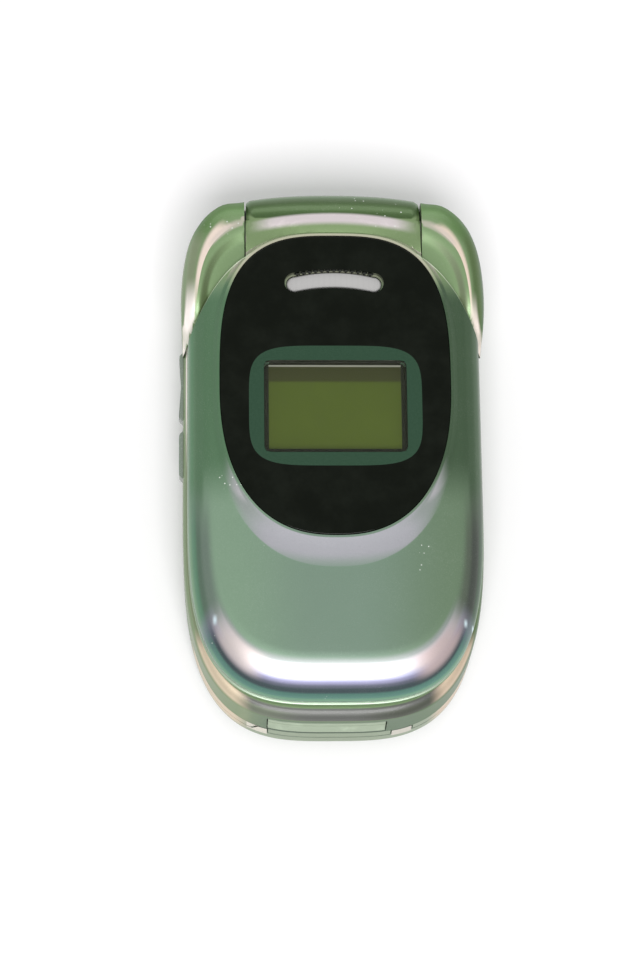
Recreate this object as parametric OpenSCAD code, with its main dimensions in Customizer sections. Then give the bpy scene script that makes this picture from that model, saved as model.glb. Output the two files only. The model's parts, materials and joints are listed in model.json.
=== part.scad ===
// Folding phone: a rounded clamshell lying on its back, closed.
// +Z is up through the lid, +Y runs toward the hinge, +X is the right side.
// The origin is the centre of the face that it lies on. All lengths are in millimetres.

/* [Base casing] */
// Width of the base across its waist
base_w = 48.4; // [48:0.2:51]
// Distance from the origin to the bottom end
bottom_y = 43.6; // [43:0.2:48]
// Height of the keypad deck above the back face
deck_z = 12.2; // [12:0.1:14]
// Height at which the front and rear casings meet
seam_z = 6.2; // [6:0.1:6.5]
// Thickness of the moulded side walls
wall = 1.3; // [1:0.05:1.5]
// Thickness of the keypad deck
deck_t = 1.2; // [0.9:0.05:1.3]
// Thickness of the plate between the battery and the electronics
rear_floor = 0.9; // [0.7:0.05:1]
// Radius of the rolled edge around the back
back_round = 3.2; // [2.4:0.1:3.6]

/* [Hinge] */
// Distance from the origin to the hinge axis
hinge_y = 38.2; // [37.8:0.1:40]
// Height of the hinge axis above the back face
hinge_z = 16; // [15.9:0.1:17]
// Radius of the hinge barrel
barrel_r = 5.6; // [5.3:0.05:5.8]
// Half the width of the tongue and barrel that the lid turns on
tongue_hw = 14; // [13.4:0.1:14.4]
// Radius of the ears where they meet the tongue
ear_r = 8; // [7.6:0.1:8.4]
// Extra radius of the ears at their outer shoulder
ear_flare = 7.5; // [6:0.1:8.5]
// How far the ears swell out of the casing's sides
ear_out = 0.45; // [0.2:0.05:0.5]
// Radius of the bore for the hinge unit and its bush
hinge_bore = 3.1; // [2.7:0.05:3.3]
// Radius of the hinge shaft
shaft_r = 1.5; // [1.2:0.05:1.7]
// How deep the hinge bores run into the ears
ear_bore_depth = 2.6; // [2.2:0.1:2.8]
// Gap between faces that pass each other as the lid turns
turn_gap = 0.3; // [0.25:0.01:0.4]

/* [Lid] */
// How far the sides of the lid stand inside the base
lid_step = 0.7; // [0.6:0.05:1.2]
// How far the end of the lid stands inside the bottom end
lid_end_step = 5.2; // [4.6:0.1:6]
// Gap between the closed lid and the keypad deck
lid_gap = 0.55; // [0.5:0.01:0.7]
// Thickness of the inner half of the lid
inner_t = 1.45; // [1.3:0.05:1.7]
// Height of the flat outer face of the lid above the back face
face_z = 21; // [20.7:0.05:21.3]
// Height of the lens above the outer face
bezel_h = 0.55; // [0.3:0.05:0.7]
// How much the barrel's radius falls toward its ends
barrel_crown = 1; // [0.4:0.1:1.1]
// Thickness of the roof of the lid
roof_t = 1.2; // [1:0.05:1.3]

/* [Outer display] */
// Half the width of the oval lens
lens_hw = 18; // [17:0.1:18.3]
// Half the length of the oval lens
lens_hl = 24.2; // [23.4:0.1:24.6]
// Distance from the origin to the middle of the oval lens
lens_y = 11; // [10.8:0.1:11.6]
// Thickness of the oval lens
lens_t = 0.9; // [0.7:0.05:1]
// Width of the window to the outer display
outer_win_w = 23; // [20:0.5:25]
// Height of the window to the outer display
outer_win_h = 15.4; // [13:0.1:16]
// Distance from the origin to the middle of that window
outer_win_y = 7; // [6.6:0.1:8.4]
// Width of the indicator bar
bar_w = 15.2; // [12:0.2:17]
// Height of the indicator bar
bar_h = 2.6; // [2:0.1:3]
// Distance from the origin to the middle of the indicator bar
bar_y = 28.1; // [27.6:0.05:28.4]
// How far the indicator bar's ends fall below its middle
bar_arch = 1.1; // [0.4:0.1:1.3]
// Reach of the slope under the lens at its lower end
apron_low = 5.2; // [3.5:0.1:5.6]
// Reach of the slope under the lens at its sides
apron_side = 1.5; // [1:0.1:1.6]

/* [Main display] */
// Width of the main display window
main_win_w = 29; // [26:0.5:31]
// Height of the main display window
main_win_h = 36; // [32:0.5:38]
// Distance from the origin to the middle of the main display
main_win_y = 0; // [-1:0.1:1]
// Border of the display lens around its window
lens_border = 3; // [2.5:0.1:3.4]

/* [Keypad] */
// Width of a digit key
key_w = 12.2; // [11:0.1:12.4]
// Height of a digit key
key_h = 5.8; // [5:0.1:6]
// Distance between key columns
key_pitch_x = 13.4; // [13.3:0.05:13.6]
// Distance between key rows
key_pitch_y = 7.1; // [7:0.05:7.4]
// Distance from the origin to the top row of digit keys
first_row_y = -4; // [-4.2:0.1:-3.8]
// Distance from the origin to the row of call keys
call_row_y = 4; // [3.8:0.1:4.1]
// Distance from the origin to the middle of the navigation ring
nav_y = 16.4; // [16.2:0.1:16.8]
// Outer radius of the navigation ring
nav_r = 8.4; // [7.8:0.1:8.5]
// Radius of the select key inside the ring
select_r = 3.4; // [3:0.1:3.8]
// Clearance around each key
key_gap = 0.2; // [0.15:0.01:0.25]
// How far a key moves when it is pressed
key_travel = 0.3; // [0.2:0.01:0.3]
// How far the keys stand above the deck
key_rise = 0.2; // [0.1:0.01:0.25]

/* [Sides] */
// Length of the volume rocker
rocker_l = 11.6; // [10.5:0.1:12]
// Distance from the origin to the middle of the rocker
rocker_y = 13.2; // [13:0.1:13.4]
// Length of the side key
side_key_l = 8; // [7:0.1:8.4]
// Distance from the origin to the middle of the side key
side_key_y = 1.8; // [1.6:0.1:2]
// Height of the side controls
side_h = 3; // [2.6:0.1:3.2]
// How far the side controls stand out of the casing
side_out = 0.6; // [0.4:0.05:0.8]
// Length of the headset cover
jack_cover_l = 5.4; // [5:0.1:6]
// Distance from the origin to the middle of the headset jack
jack_y = 23.6; // [23.4:0.1:23.8]
// Radius of the headset jack bore
jack_r = 1.25; // [1.2:0.05:1.5]
// Width of the connector cover in the bottom end
port_w = 18.6; // [17:0.2:19.4]
// Sideways place of the connector cover
port_x = -1.4; // [-1.8:0.1:-1]

/* [Battery] */
// Height of the battery pack
batt_h = 4.6; // [4.2:0.05:4.6]
// Distance from the origin to the top end of the pack
batt_y = 8.3; // [7:0.1:9]
// Gap around the battery pack
batt_gap = 0.2; // [0.15:0.01:0.3]
// Width of the cell in the pack
cell_w = 33; // [28:0.5:34]
// Length of the cell in the pack
cell_l = 36; // [30:0.5:37]
// Thickness of the pack's walls
case_t = 0.9; // [0.7:0.05:1]
// Width of the battery latch
latch_w = 10; // [8:0.2:12]
// How far the battery latch slides
latch_travel = 1.2; // [0.8:0.05:1.4]

/* [Hidden] */
// Height of the circuit board's underside and its thickness
pcb_z = seam_z + 1.4;
pcb_t = 1;
// Corners on one turn of a casing outline
N = 56;
// Sharpness of the outlines' curves: bottom end, and hinge end along and across the phone
end_curve = 3.1;
top_curve = 9;
top_side_curve = 3.3;
// Place along the phone where the casings are widest
waist_y = -5;
hw = base_w / 2;
lid_hw = hw - lid_step;
lid_z = deck_z + lid_gap;
lid_seam = lid_z + inner_t;
back_y = hinge_y + barrel_r;
lid_end = bottom_y - lid_end_step;
// Inner faces of the ears, and the width at which their shoulders are measured
ear_x = tongue_hw + turn_gap;
ear_ref = hw - 2.8;
// Running fit of a round in its bore, and the gap that seated parts keep
fit = 0.06;
seat = 0.05;
lens_top = face_z + bezel_h;
lens_low = lens_top - lens_t;
roof_low = face_z - roof_t;
flange_t = 0.5;
flange_top = deck_z - deck_t - 0.15;
soft_rim = 0.5;
clear_rim = 0.4;
mat_top = flange_top - flange_t - key_travel - 0.05;
mat_t = 0.45;
side_z = (seam_z + deck_z) / 2 - 0.2;
batt_roof = batt_h + batt_gap;
floor_top = batt_roof + rear_floor;
// Lean of the bottom end, and the rolled edges of deck and lid
end_rake = 0.27;
roll_h = 2.2;
roll_side = 0.9;
roll_end = 2.3;
lid_curve = 3.5;
lid_roll_h = 4;
lid_roll_side = 4.6;
lid_roll_end = 6.4;
// Lens outline, the rim around its seat and its fits
lens_low_curve = 2.4;
lens_top_curve = 3;
rim_w = 0.5;
seat_gap = 0.08;
bar_gap = 0.1;
slot_gap = 0.35;
// Ears: rolled edge, valley behind it and their profile from the side as places before the hinge and drops
ear_top = hinge_z + barrel_r;
ear_edge = 0.03;
ear_roll = 2.65;
ear_valley = [3.4, 0.95];
ear_shelf = [7.2, 0.3];
ear_profile = [[-1, -0.02], [8.7, 0.5], [13.5, 1.3], [17, 3.6], [21, ear_top - deck_z + 0.5]];
// Inside the lid
inner_floor = 1;
main_lens_t = 0.75;
cavity_high = 30;
cavity_in = 1.4;
cavity_step = [3.2, 4.4];
lid_boss_r = 1.7;
lens_fit = 0.15;
// Borders of the display modules and the lid board around their windows
outer_border = 2.4;
main_border = [3.6, 5];
board_border = 3;
ear_piece = [4.4, 3, 1.6, 2.6];
ear_pitch = 1.9;
ear_slot = [0.8, 3.4];
outer_display_z = roof_low - 1.9;
ear_slot_y = main_win_y - main_win_h / 2 - 10;
// Circuit board
board_hw = hw - 4.6;
board_end = bottom_y - 6.6;
board_low = board_end + waist_y;
board_high = hinge_y - 6.2;
dome_h = 0.35;
film_t = 0.12;
// Shield cans, as places and sizes
can_places = [[-7, -14, 20, 22], [5, 16, 24, 20]];
can_t = 0.3;
// Screws, as places with the radius of the boss around each
screw_r = 0.6;
screw_head_r = 1.25;
screw_head_h = 0.6;
screw_places = [for (s = [-1, 1]) each [[s * (hw - 2.9), -10, 1.4], [s * (hw - 6), hinge_y - 6.4, 2]]];
lid_screw_places = [for (s = [-1, 1]) each [[s * (lid_hw - 4.1), 16], [s * (lid_hw - 9), 8.2 - lid_end]]];
// Keys beside the digits
key_rim = (key_pitch_x - key_w - key_gap) / 2;
soft_x = nav_r + 6.6;
soft_y = nav_y + 4.6;
soft_w = 8;
soft_h = 5;
call_w = 11.4;
call_h = 5;
clear_w = 8.6;
clear_h = 4.4;
clear_y = call_row_y - 0.4;
nav_low = flange_top - 0.5;
// The rubber sheet and the domes reach past the top row of keys
nub_r = 1.1;
dome_r = 2;
nav_dome = 6.2;
sheet_hw = board_hw - 0.8;
sheet_low = board_low - 4;
sheet_high = soft_y + soft_h / 2 + 1 - waist_y;
sheet_curve = 8;
screw_room = 0.6;
key_places = concat([for (i = [0:11]) [digit_x(i), digit_y(i)]],
    [for (s = [-1, 1]) each [[s * soft_x, soft_y], [s * key_pitch_x, call_row_y], [s * nav_dome, nav_y]]],
    [[0, clear_y], [0, nav_y], [0, nav_y + nav_dome], [0, nav_y - nav_dome]]);
mic_r = 2;
mic_x = 6.7;
mic_y = digit_y(9) - key_h / 2 - 4;
// Side controls and ports
side_in = -hw + wall + 0.4;
side_rim = 0.5;
switch_w = -board_hw - side_in - side_rim - key_travel - 0.15;
switch_l = 3.2;
switch_h = 1.8;
jack_face_x = -hw + 0.6;
jack_cover_t = 0.8;
jack_gap = 0.3;
rocker_pad = 3.6;
port_top = deck_z - roll_h - 0.2;
port_l = 3;
port_gap = 0.35;
cover_t = 0.9;
jack_in = -hw + wall + 0.6;
jack_d = 5;
jack_l = 5.2;
jack_h = 3.1;
jack_z = side_z - 0.6;
// Back of the phone
hook_places = [-12.4, 10.7];
hook_w = 3.2;
hook_l = 2;
hook_top = 6;
latch_room = 7;
latch_l = 3.2;
latch_h = 3;
nose_l = 0.6;
ledge_z = latch_h - 0.3;
ledge_l = 1.6;
contact_x = 12;
contact_y = batt_y - 4;
contact_w = 8;
contact_l = 3;
cell_y = batt_y - contact_l - 3 - cell_l / 2;
speaker_x = -9;
speaker_y = batt_y + latch_room + wall + 9;
speaker_r = 6.5;
magnet_r = 4.2;
slot_w = 0.8;
slot_l = 7;
slot_pitch = 1.6;
motor_x = 8;
motor_r = 2;
motor_l = 7;
antenna_w = 28;
antenna_l = 3.4;
strip_w = 18;
strip_t = 0.15;
antenna_y = hinge_y - 1.4;
antenna_top = hinge_z - barrel_r - turn_gap - wall - 0.3;
// Hinge unit
can_l = 11;
bush_l = 5;
spring_r = 2.3;

DIGITS = ["key_1", "key_2", "key_3", "key_4", "key_5", "key_6",
    "key_7", "key_8", "key_9", "key_star", "key_0", "key_hash"];

// ---------- Outlines and lofts ----------

// Closed outline with its own length and sharpness toward each end, and at the upper end's sides
function outline(half, low, high, n_low, n_high, mid, corners, n_side = 0) = [
    for (i = [0:corners - 1])
    let (a = 360 * i / corners, down = sin(a) < 0)
    let (n = down ? n_low : n_high, m = n_side == 0 || down ? n : n_side)
    let (along = sign(sin(a)) * pow(abs(sin(a)), 2 / n), aside = sign(cos(a)) * pow(abs(cos(a)), 2 / m))
    [half * aside, mid + (down ? low : high) * along]];

// Outline of the casing, drawn in by so much at the sides, the bottom end and the hinge end
function casing(side, low, high, curve = end_curve) =
    outline(hw - side, bottom_y + waist_y - low, back_y - waist_y - high, curve, top_curve, waist_y, N,
        top_side_curve);

// Outline of the lid, drawn in by so much from its edge
function lid_outline(side, low, high) = casing(lid_step + side, lid_end_step + low, high, lid_curve);

// Rounded outline of a key or window
function pill(w, h, n = 4, corners = 20) = outline(w / 2, h / 2, h / 2, n, n, 0, corners);

// Skin over a run of outlines, each a list of its points and a height
module loft(rings) {
    m = len(rings);
    n = len(rings[0][0]);
    points = [for (r = rings) for (p = r[0]) [p[0], p[1], r[1]]];
    sides = [for (k = [0:m - 2]) for (i = [0:n - 1])
        let (a = k * n + i, b = k * n + (i + 1) % n, c = a + n, d = b + n)
        each [[a, c, d], [a, d, b]]];
    caps = [[for (i = [0:n - 1]) i], [for (i = [n - 1:-1:0]) (m - 1) * n + i]];
    polyhedron(points, concat(sides, caps), convexity = 6);
}

// Flat outline raised between two heights
module slab(points, z0, z1) {
    translate([0, 0, z0])
        linear_extrude(z1 - z0)
            polygon(points);
}

// Box from its middle along X and Y, its size and two heights
module block(x, y, w, l, z0, z1) {
    translate([x - w / 2, y - l / 2, z0])
        cube([w, l, z1 - z0]);
}

// Upright round
module post(x, y, r, z0, z1) {
    translate([x, y, z0])
        cylinder(h = z1 - z0, r = r, $fn = 32);
}

// Round along the hinge axis
module axle(x0, x1, r) {
    translate([x0, hinge_y, hinge_z])
        rotate([0, 90, 0])
            cylinder(h = x1 - x0, r = r, $fn = 64);
}

// Side view outline carried across the phone between two widths
module across(points, x0, x1) {
    translate([x0, 0, 0])
        rotate([90, 0, 90])
            linear_extrude(x1 - x0)
                polygon(points);
}

// The same on both sides
module both() {
    children();
    mirror([1, 0, 0])
        children();
}

// ---------- Shapes that the two halves share ----------

// How far the bottom end leans in at a height
function rake(z) = end_rake * (z - back_round);

// Radius of the ear about the hinge axis at a place across the phone
function ear_radius(x) = ear_r + ear_flare * pow(max(0, x - ear_x) / (ear_ref - ear_x), 1.6);

// Shoulder turned about the hinge axis, which the lid's corner clears
module shoulder(extra) {
    steps = 9;
    x_far = hw + 1;
    profile = [for (i = [0:steps]) let (x = ear_x + i * (x_far - ear_x) / steps) [ear_radius(x) + extra, x]];
    translate([0, hinge_y, hinge_z])
        rotate([0, 90, 0])
            rotate_extrude($fn = 96)
                polygon(concat([[0, x_far], [0, ear_x]], profile));
}

// Places of the digit keys
function digit_x(i) = (i % 3 - 1) * key_pitch_x;
function digit_y(i) = first_row_y - floor(i / 3) * key_pitch_y;

// Outline of the arched indicator bar with round ends
function bar_outline(grow) =
    let (h = bar_h / 2 + grow, w = bar_w / 2 + grow - h, steps = 6)
    [for (s = [-1, 1]) each concat(
        [for (i = [-steps:steps]) [-s * w * i / steps, bar_spine(w * i / steps) + s * h]],
        [for (a = [20:20:160]) [-s * (w + h * sin(a)), bar_spine(w) + s * h * cos(a)]])];

// Middle line of the indicator bar at a place across it
function bar_spine(x) = bar_y - bar_arch * pow(x / (bar_w / 2), 2);

// Radius of the barrel at a place across it
function barrel_radius(x) = barrel_r - barrel_crown * pow(abs(x) / tongue_hw, 2.4);

// Outline of the lens, grown by so much at its sides, its lower end and its upper end
function lens_outline(side, low, high) =
    outline(lens_hw + side, lens_hl + low, lens_hl + high, lens_low_curve, lens_top_curve, lens_y, 48);

// ---------- Base ----------

// Base front: deck, side walls and the two hinge ears
module base_front() {
    roll_z = deck_z - roll_h;
    deck_low = deck_z - deck_t;
    color([0.52, 0.58, 0.52])
    difference() {
        union() {
            loft(concat(
                [[casing(wall + roll_side, rake(roll_z) + roll_end + 0.8, wall + 0.4), deck_low],
                [casing(wall, rake(roll_z) + wall, wall), deck_low - 1],
                [casing(wall, rake(seam_z) + wall, wall), seam_z],
                [casing(0, rake(seam_z), 0), seam_z]],
                [for (a = [0:30:90]) [casing(roll_side * (1 - cos(a)), rake(roll_z) + roll_end * (1 - cos(a)),
                    0.3 * (1 - cos(a))), roll_z + roll_h * sin(a)]]));
            both() ear();
            hinge_trough();
            for (s = screw_places) post(s[0], s[1], s[2], seam_z, deck_low + 0.2);
        }
        // Room for the barrel and for the lid when it is open
        axle(-ear_x, ear_x, barrel_r + turn_gap);
        block(0, back_y, 2 * ear_x, 2 * barrel_r, hinge_z - barrel_r * 0.75, deck_z + 9);
        // Bores for the hinge unit and the bush
        axle(ear_x - 1, ear_x + ear_bore_depth, hinge_bore);
        axle(-ear_x - ear_bore_depth, 1 - ear_x, hinge_bore);
        for (s = screw_places) post(s[0], s[1], screw_r + fit / 2, seam_z - 1, deck_low - 0.4);
        key_openings();
        side_openings();
        port_opening();
        // Sound hole to the microphone
        post(mic_x, mic_y, 0.5, deck_low - 1, deck_z + 1);
    }
}

// One hinge ear with its rolled outer edge
module ear() {
    low = deck_z - roll_h;
    crest = ear_top - 0.28;
    swell = [for (k = [0, 0.5, 1]) ear_ring(ear_edge - k * (ear_out + ear_edge), low + k * (hinge_z - low))];
    edge = [for (a = [0:18:90]) ear_ring(ear_roll * (1 - cos(a)) - ear_out, crest - ear_roll * (1 - sin(a)))];
    valley = ear_ring(ear_valley[0], ear_top - ear_valley[1]);
    shelf = ear_ring(ear_shelf[0], ear_top - ear_shelf[1]);
    far = ear_profile[len(ear_profile) - 1];
    intersection() {
        loft(concat(swell, edge, [valley, shelf, ear_ring(ear_roll * 5, ear_top - 0.1)]));
        shoulder(0);
        across(concat([[back_y + 2, low - 1], [back_y + 2, ear_top + 1]],
            [for (p = ear_profile) [hinge_y - p[0], ear_top - p[1]]],
            [[hinge_y - far[0], low - 1]]), ear_x, hw + 1);
    }
}

// Outline of the ear at an inset, with its height
function ear_ring(inset, z) = [casing(inset, 0, max(ear_edge, inset)), z];

// Trough under the barrel
module hinge_trough() {
    intersection() {
        axle(-ear_x, ear_x, barrel_r + turn_gap + wall);
        block(0, hinge_y - 1, 2 * ear_x, 2 * barrel_r + 4, hinge_z - barrel_r - 3, deck_z);
        slab(casing(0.3, 0, 0.3), 0, deck_z + 1);
    }
}

// Openings in the deck for every key
module key_openings() {
    translate([0, 0, deck_z - deck_t - 2])
        linear_extrude(deck_t + 4) {
            for (i = [0:11])
                translate([digit_x(i), digit_y(i)])
                    polygon(pill(key_w + 2 * key_gap, key_h + 2 * key_gap));
            for (s = [-1, 1]) {
                translate([s * soft_x, soft_y])
                    polygon(pill(soft_w + 2 * key_gap, soft_h + 2 * key_gap));
                translate([s * key_pitch_x, call_row_y])
                    polygon(pill(call_w + 2 * key_gap, call_h + 2 * key_gap));
            }
            translate([0, clear_y])
                polygon(pill(clear_w + 2 * key_gap, clear_h + 2 * key_gap));
        }
    post(0, nav_y, nav_r + key_gap, deck_z - deck_t - 2, deck_z + 2);
}

// Openings in the left wall and the seat of the headset cover
module side_openings() {
    g = key_gap;
    block(-hw, rocker_y, 2 * wall + 2, rocker_l + 2 * g, side_z - side_h / 2 - g, side_z + side_h / 2 + g);
    block(-hw, side_key_y, 2 * wall + 2, side_key_l + 2 * g, side_z - side_h / 2 - g, side_z + side_h / 2 + g);
    translate([jack_face_x + 0.2 - 2, jack_y - jack_cover_l / 2 - jack_gap, side_z - side_h / 2 - jack_gap])
        cube([2, jack_cover_l + 2 * jack_gap, side_h + 2 * jack_gap]);
    translate([-hw - 1, jack_y, jack_z])
        rotate([0, 90, 0])
            cylinder(h = 5, r = jack_r + 0.2, $fn = 32);
}

// Opening in the bottom end for the connector
module port_opening() {
    block(port_x, -bottom_y, port_w + 2 * key_gap, 12, seam_z - 1, port_top + port_gap);
}

// Solid of the rear half before it is hollowed, up to a height
module rear_form(top) {
    rings = [for (a = [0:22.5:90]) let (in = back_round * (1 - sin(a)))
        [casing(in, in, in), back_round * (1 - cos(a))]];
    loft(concat(rings, [[casing(0, rake(top), 0), top]]));
}

// Base rear: rounded back with the battery bay, the chamber above it and screw bosses
module base_rear() {
    chamber_y = batt_y + latch_room + wall;
    color([0.46, 0.52, 0.46])
    difference() {
        rear_form(seam_z);
        // Well for the electronics, above the battery bay
        difference() {
            slab(casing(wall, rake(seam_z) + wall + 0.6, wall), floor_top, seam_z + 1);
            for (s = screw_places) post(s[0], s[1], s[2] + 0.2, 0, seam_z + 2);
        }
        // Chamber at the hinge end
        difference() {
            intersection() {
                slab(casing(wall + 0.9, 0, wall + 0.9), wall, floor_top + 0.1);
                block(0, chamber_y + 50, 2 * hw, 100, 0, seam_z + 1);
            }
            for (s = screw_places) post(s[0], s[1], s[2] + 0.2, 0, seam_z + 2);
        }
        // Battery bay, open at the back and the bottom end
        block(0, batt_y + batt_gap - 50, 2 * hw + 2, 100, -1, batt_roof);
        // Notches for the pack's two hooks
        for (x = hook_places)
            block(x, -bottom_y, hook_w + 2 * batt_gap, 2 * hook_l + 2 * batt_gap, 0, hook_top + batt_gap);
        // Slide way of the latch, the contacts' opening and the jack's bore
        block(0, batt_y + latch_room / 2, latch_w + 2 * batt_gap, latch_room, -1, latch_h + batt_gap);
        block(contact_x, contact_y, contact_w + 2 * batt_gap, contact_l + 2 * batt_gap, 0, seam_z + 1);
        for (s = screw_places) screw_bore(s);
        for (i = [-3:3]) block(speaker_x + i * slot_pitch, speaker_y, slot_w, slot_l - abs(i), -1, wall + 1);
    }
}

// Bore and head seat of a casing screw
module screw_bore(s) {
    post(s[0], s[1], screw_r + 0.1, -1, seam_z + 1);
    post(s[0], s[1], screw_head_r + 0.15, -1, head_z(s) + screw_head_h + 0.1);
}

// Height of a screw's head: over the battery bay or in the back
function head_z(s) = s[1] < batt_y ? batt_roof + 0.05 : 0.5;

// Base screws: two over the battery bay and two at the hinge end
module base_screws() {
    color([0.62, 0.63, 0.66])
    for (s = screw_places) {
        z = head_z(s);
        difference() {
            post(s[0], s[1], screw_head_r, z, z + screw_head_h);
            block(s[0], s[1], 2 * screw_head_r * 0.7, 0.3, z - 1, z + 0.3);
            block(s[0], s[1], 0.3, 2 * screw_head_r * 0.7, z - 1, z + 0.3);
        }
        post(s[0], s[1], screw_r, z + screw_head_h, deck_z - deck_t - 0.6);
    }
}

// Circuit board with notches for the screw bosses and the side controls
module circuit_board() {
    color([0.1, 0.35, 0.2])
    difference() {
        slab(outline(board_hw, board_low, board_high, 3.4, 5, waist_y, 40), pcb_z, pcb_z + pcb_t);
        for (s = screw_places) post(s[0], s[1], s[2] + 0.4, pcb_z - 1, pcb_z + pcb_t + 1);
        post(mic_x, mic_y, 0.8, pcb_z - 1, pcb_z + pcb_t + 1);
        jack_room();
    }
}

// Two pressed cans under the board
module shield_cans() {
    color([0.7, 0.72, 0.74])
    for (c = can_places)
        difference() {
            block(c[0], c[1], c[2], c[3], floor_top + 0.15, pcb_z);
            block(c[0], c[1], c[2] - 2 * can_t, c[3] - 2 * can_t, floor_top + 0.15 + can_t, pcb_z + 1);
        }
}

// Outline of the dome sheet and the keymat
function sheet() = outline(sheet_hw, sheet_low, sheet_high, 4, sheet_curve, waist_y, 40);

// Dome sheet: thin film with a snap dome under each key
module dome_sheet() {
    z = pcb_z + pcb_t;
    color([0.8, 0.8, 0.76])
    difference() {
        union() {
            slab(sheet(), z, z + film_t);
            for (p = key_places) post(p[0], p[1], dome_r, z + film_t, z + dome_h);
        }
        for (s = screw_places) post(s[0], s[1], s[2] + screw_room, z - 1, z + 1);
        post(mic_x, mic_y, mic_r + 0.2, z - 1, z + 1);
        jack_room();
    }
}

// Keymat: rubber sheet with a nub over each dome
module keymat() {
    low = mat_top - mat_t;
    color([0.85, 0.87, 0.85])
    difference() {
        union() {
            slab(sheet(), low, mat_top);
            for (p = key_places) post(p[0], p[1], nub_r, pcb_z + pcb_t + dome_h, low);
        }
        for (s = screw_places) post(s[0], s[1], s[2] + screw_room, low - 1, mat_top + 1);
        post(mic_x, mic_y, mic_r + 0.2, low - 1, mat_top + 1);
        jack_room();
    }
}

// Loudspeaker in the chamber, facing the back
module loudspeaker() {
    color([0.2, 0.2, 0.22])
    translate([speaker_x, speaker_y, wall + 0.05])
        rotate_extrude($fn = 48)
            polygon([[0, 0.5], [3, 0.2], [speaker_r - 1.5, 0.5], [speaker_r - 0.9, 0], [speaker_r, 0],
                [speaker_r, 2.4], [magnet_r, 2.4], [magnet_r, 3.2], [0, 3.2]]);
}

// Vibration motor: a can with an off-centre weight on its shaft
module vibration_motor() {
    color([0.66, 0.67, 0.7])
    translate([motor_x, speaker_y, wall + motor_r + 0.1])
        rotate([90, 0, 0]) {
            cylinder(h = motor_l, r = motor_r, $fn = 32);
            translate([0, 0, -1.2])
                cylinder(h = 1.2, r = 0.4, $fn = 24);
            difference() {
                translate([0, 0, -3.4])
                    cylinder(h = 2.2, r = motor_r - 0.1, $fn = 32);
                translate([-3, 0.5, -4])
                    cube([6, 3, 4]);
            }
        }
}

// Microphone capsule behind its sound hole
module microphone() {
    color([0.72, 0.72, 0.7])
    post(mic_x, mic_y, mic_r, pcb_z + pcb_t, deck_z - deck_t - 0.05);
}

// Room that the boards leave around the headset jack
module jack_room() {
    translate([jack_in - 3, jack_y - jack_l / 2 - 0.15, seam_z])
        cube([jack_d + 3.15, jack_l + 0.3, deck_z - seam_z]);
}

// Headset jack: block with a round bore facing the left side
module headset_jack() {
    color([0.12, 0.12, 0.13])
    translate([jack_in, jack_y, jack_z])
        difference() {
            translate([0, -jack_l / 2, -jack_h / 2])
                cube([jack_d, jack_l, jack_h]);
            translate([-1, 0, 0])
                rotate([0, 90, 0])
                    cylinder(h = jack_d, r = jack_r, $fn = 32);
        }
}

// Bottom connector: shell with a slot for a flat plug
module bottom_connector() {
    y = -board_end - port_l / 2;
    color([0.6, 0.61, 0.62])
    difference() {
        block(port_x, y, port_w - 2, port_l, pcb_z - 1, port_top - 0.3);
        block(port_x, y - 1, port_w - 3.4, port_l, pcb_z - 0.4, port_top - 0.9);
    }
}

// Battery contacts: spring block that reaches down to the pack
module battery_contacts() {
    color([0.75, 0.68, 0.4]) {
        block(contact_x, contact_y, contact_w, contact_l, batt_roof + 0.3, pcb_z);
        for (i = [-1:1])
            block(contact_x + i * contact_w / 3.4, contact_y, 0.8, contact_l - 1, batt_roof, batt_roof + 0.3);
    }
}

// Antenna: moulded carrier at the hinge end with its radiating strip
module antenna() {
    color([0.82, 0.8, 0.7]) {
        block(0, antenna_y, antenna_w, antenna_l, wall + seat, antenna_top);
        block(-3, antenna_y, strip_w, antenna_l - 1, antenna_top, antenna_top + strip_t);
    }
}

// Two small switches behind the rocker and one behind the side key
module side_switches() {
    x1 = -board_hw;
    color([0.6, 0.6, 0.62])
    for (y = [rocker_y - rocker_pad, rocker_y + rocker_pad, side_key_y])
        translate([x1 - switch_w, y - switch_l / 2, side_z - switch_h / 2])
            cube([switch_w, switch_l, switch_h]);
}

// Hinge shaft: hub held in the right ear and the shaft that the lid turns on
module hinge_shaft() {
    color([0.74, 0.75, 0.78])
    axle_group(ear_x + 0.2, ear_x + ear_bore_depth - 0.1, hinge_bore - fit, ear_x - can_l + 1.5, shaft_r);
}

// Hub and shaft on the hinge axis
module axle_group(hub0, hub1, hub_r, x0, r) {
    axle(hub0, hub1, hub_r);
    axle(x0, hub0, r);
}

// Hinge bush: tube that carries the left end of the barrel and lets the flex through
module hinge_bush() {
    color([0.3, 0.3, 0.32])
    difference() {
        axle(-ear_x - ear_bore_depth + 0.1, -ear_x + bush_l, hinge_bore - fit);
        axle(-ear_x - ear_bore_depth - 1, -ear_x + bush_l + 1, hinge_bore - 0.9);
    }
}

// ---------- Keys and side controls ----------

// One key: cap through the deck and a rim that holds it under the deck
module key(x, y, w, h, rim) {
    translate([x, y, 0]) {
        slab(pill(w, h), flange_top, deck_z + key_rise);
        slab(pill(w + 2 * rim, h + 2 * rim), flange_top - flange_t, flange_top);
    }
}

// Digit key of a given place in the grid
module digit_key(i) {
    color([0.8, 0.83, 0.8])
    key(digit_x(i), digit_y(i), key_w, key_h, key_rim);
}

// Navigation ring: rocks on the keymat around the select key
module nav_ring() {
    color([0.75, 0.78, 0.76])
    translate([0, nav_y, 0])
        rotate_extrude($fn = 64)
            polygon([[select_r + key_gap, flange_top + 0.5], [select_r + 1, flange_top + 0.5],
                [select_r + 1, nav_low], [nav_r + 0.4, nav_low], [nav_r + 0.4, nav_low + 0.4],
                [nav_r, nav_low + 0.4], [nav_r, deck_z], [nav_r - 0.8, deck_z + key_rise],
                [select_r + 0.9, deck_z + key_rise], [select_r + key_gap, deck_z]]);
}

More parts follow.
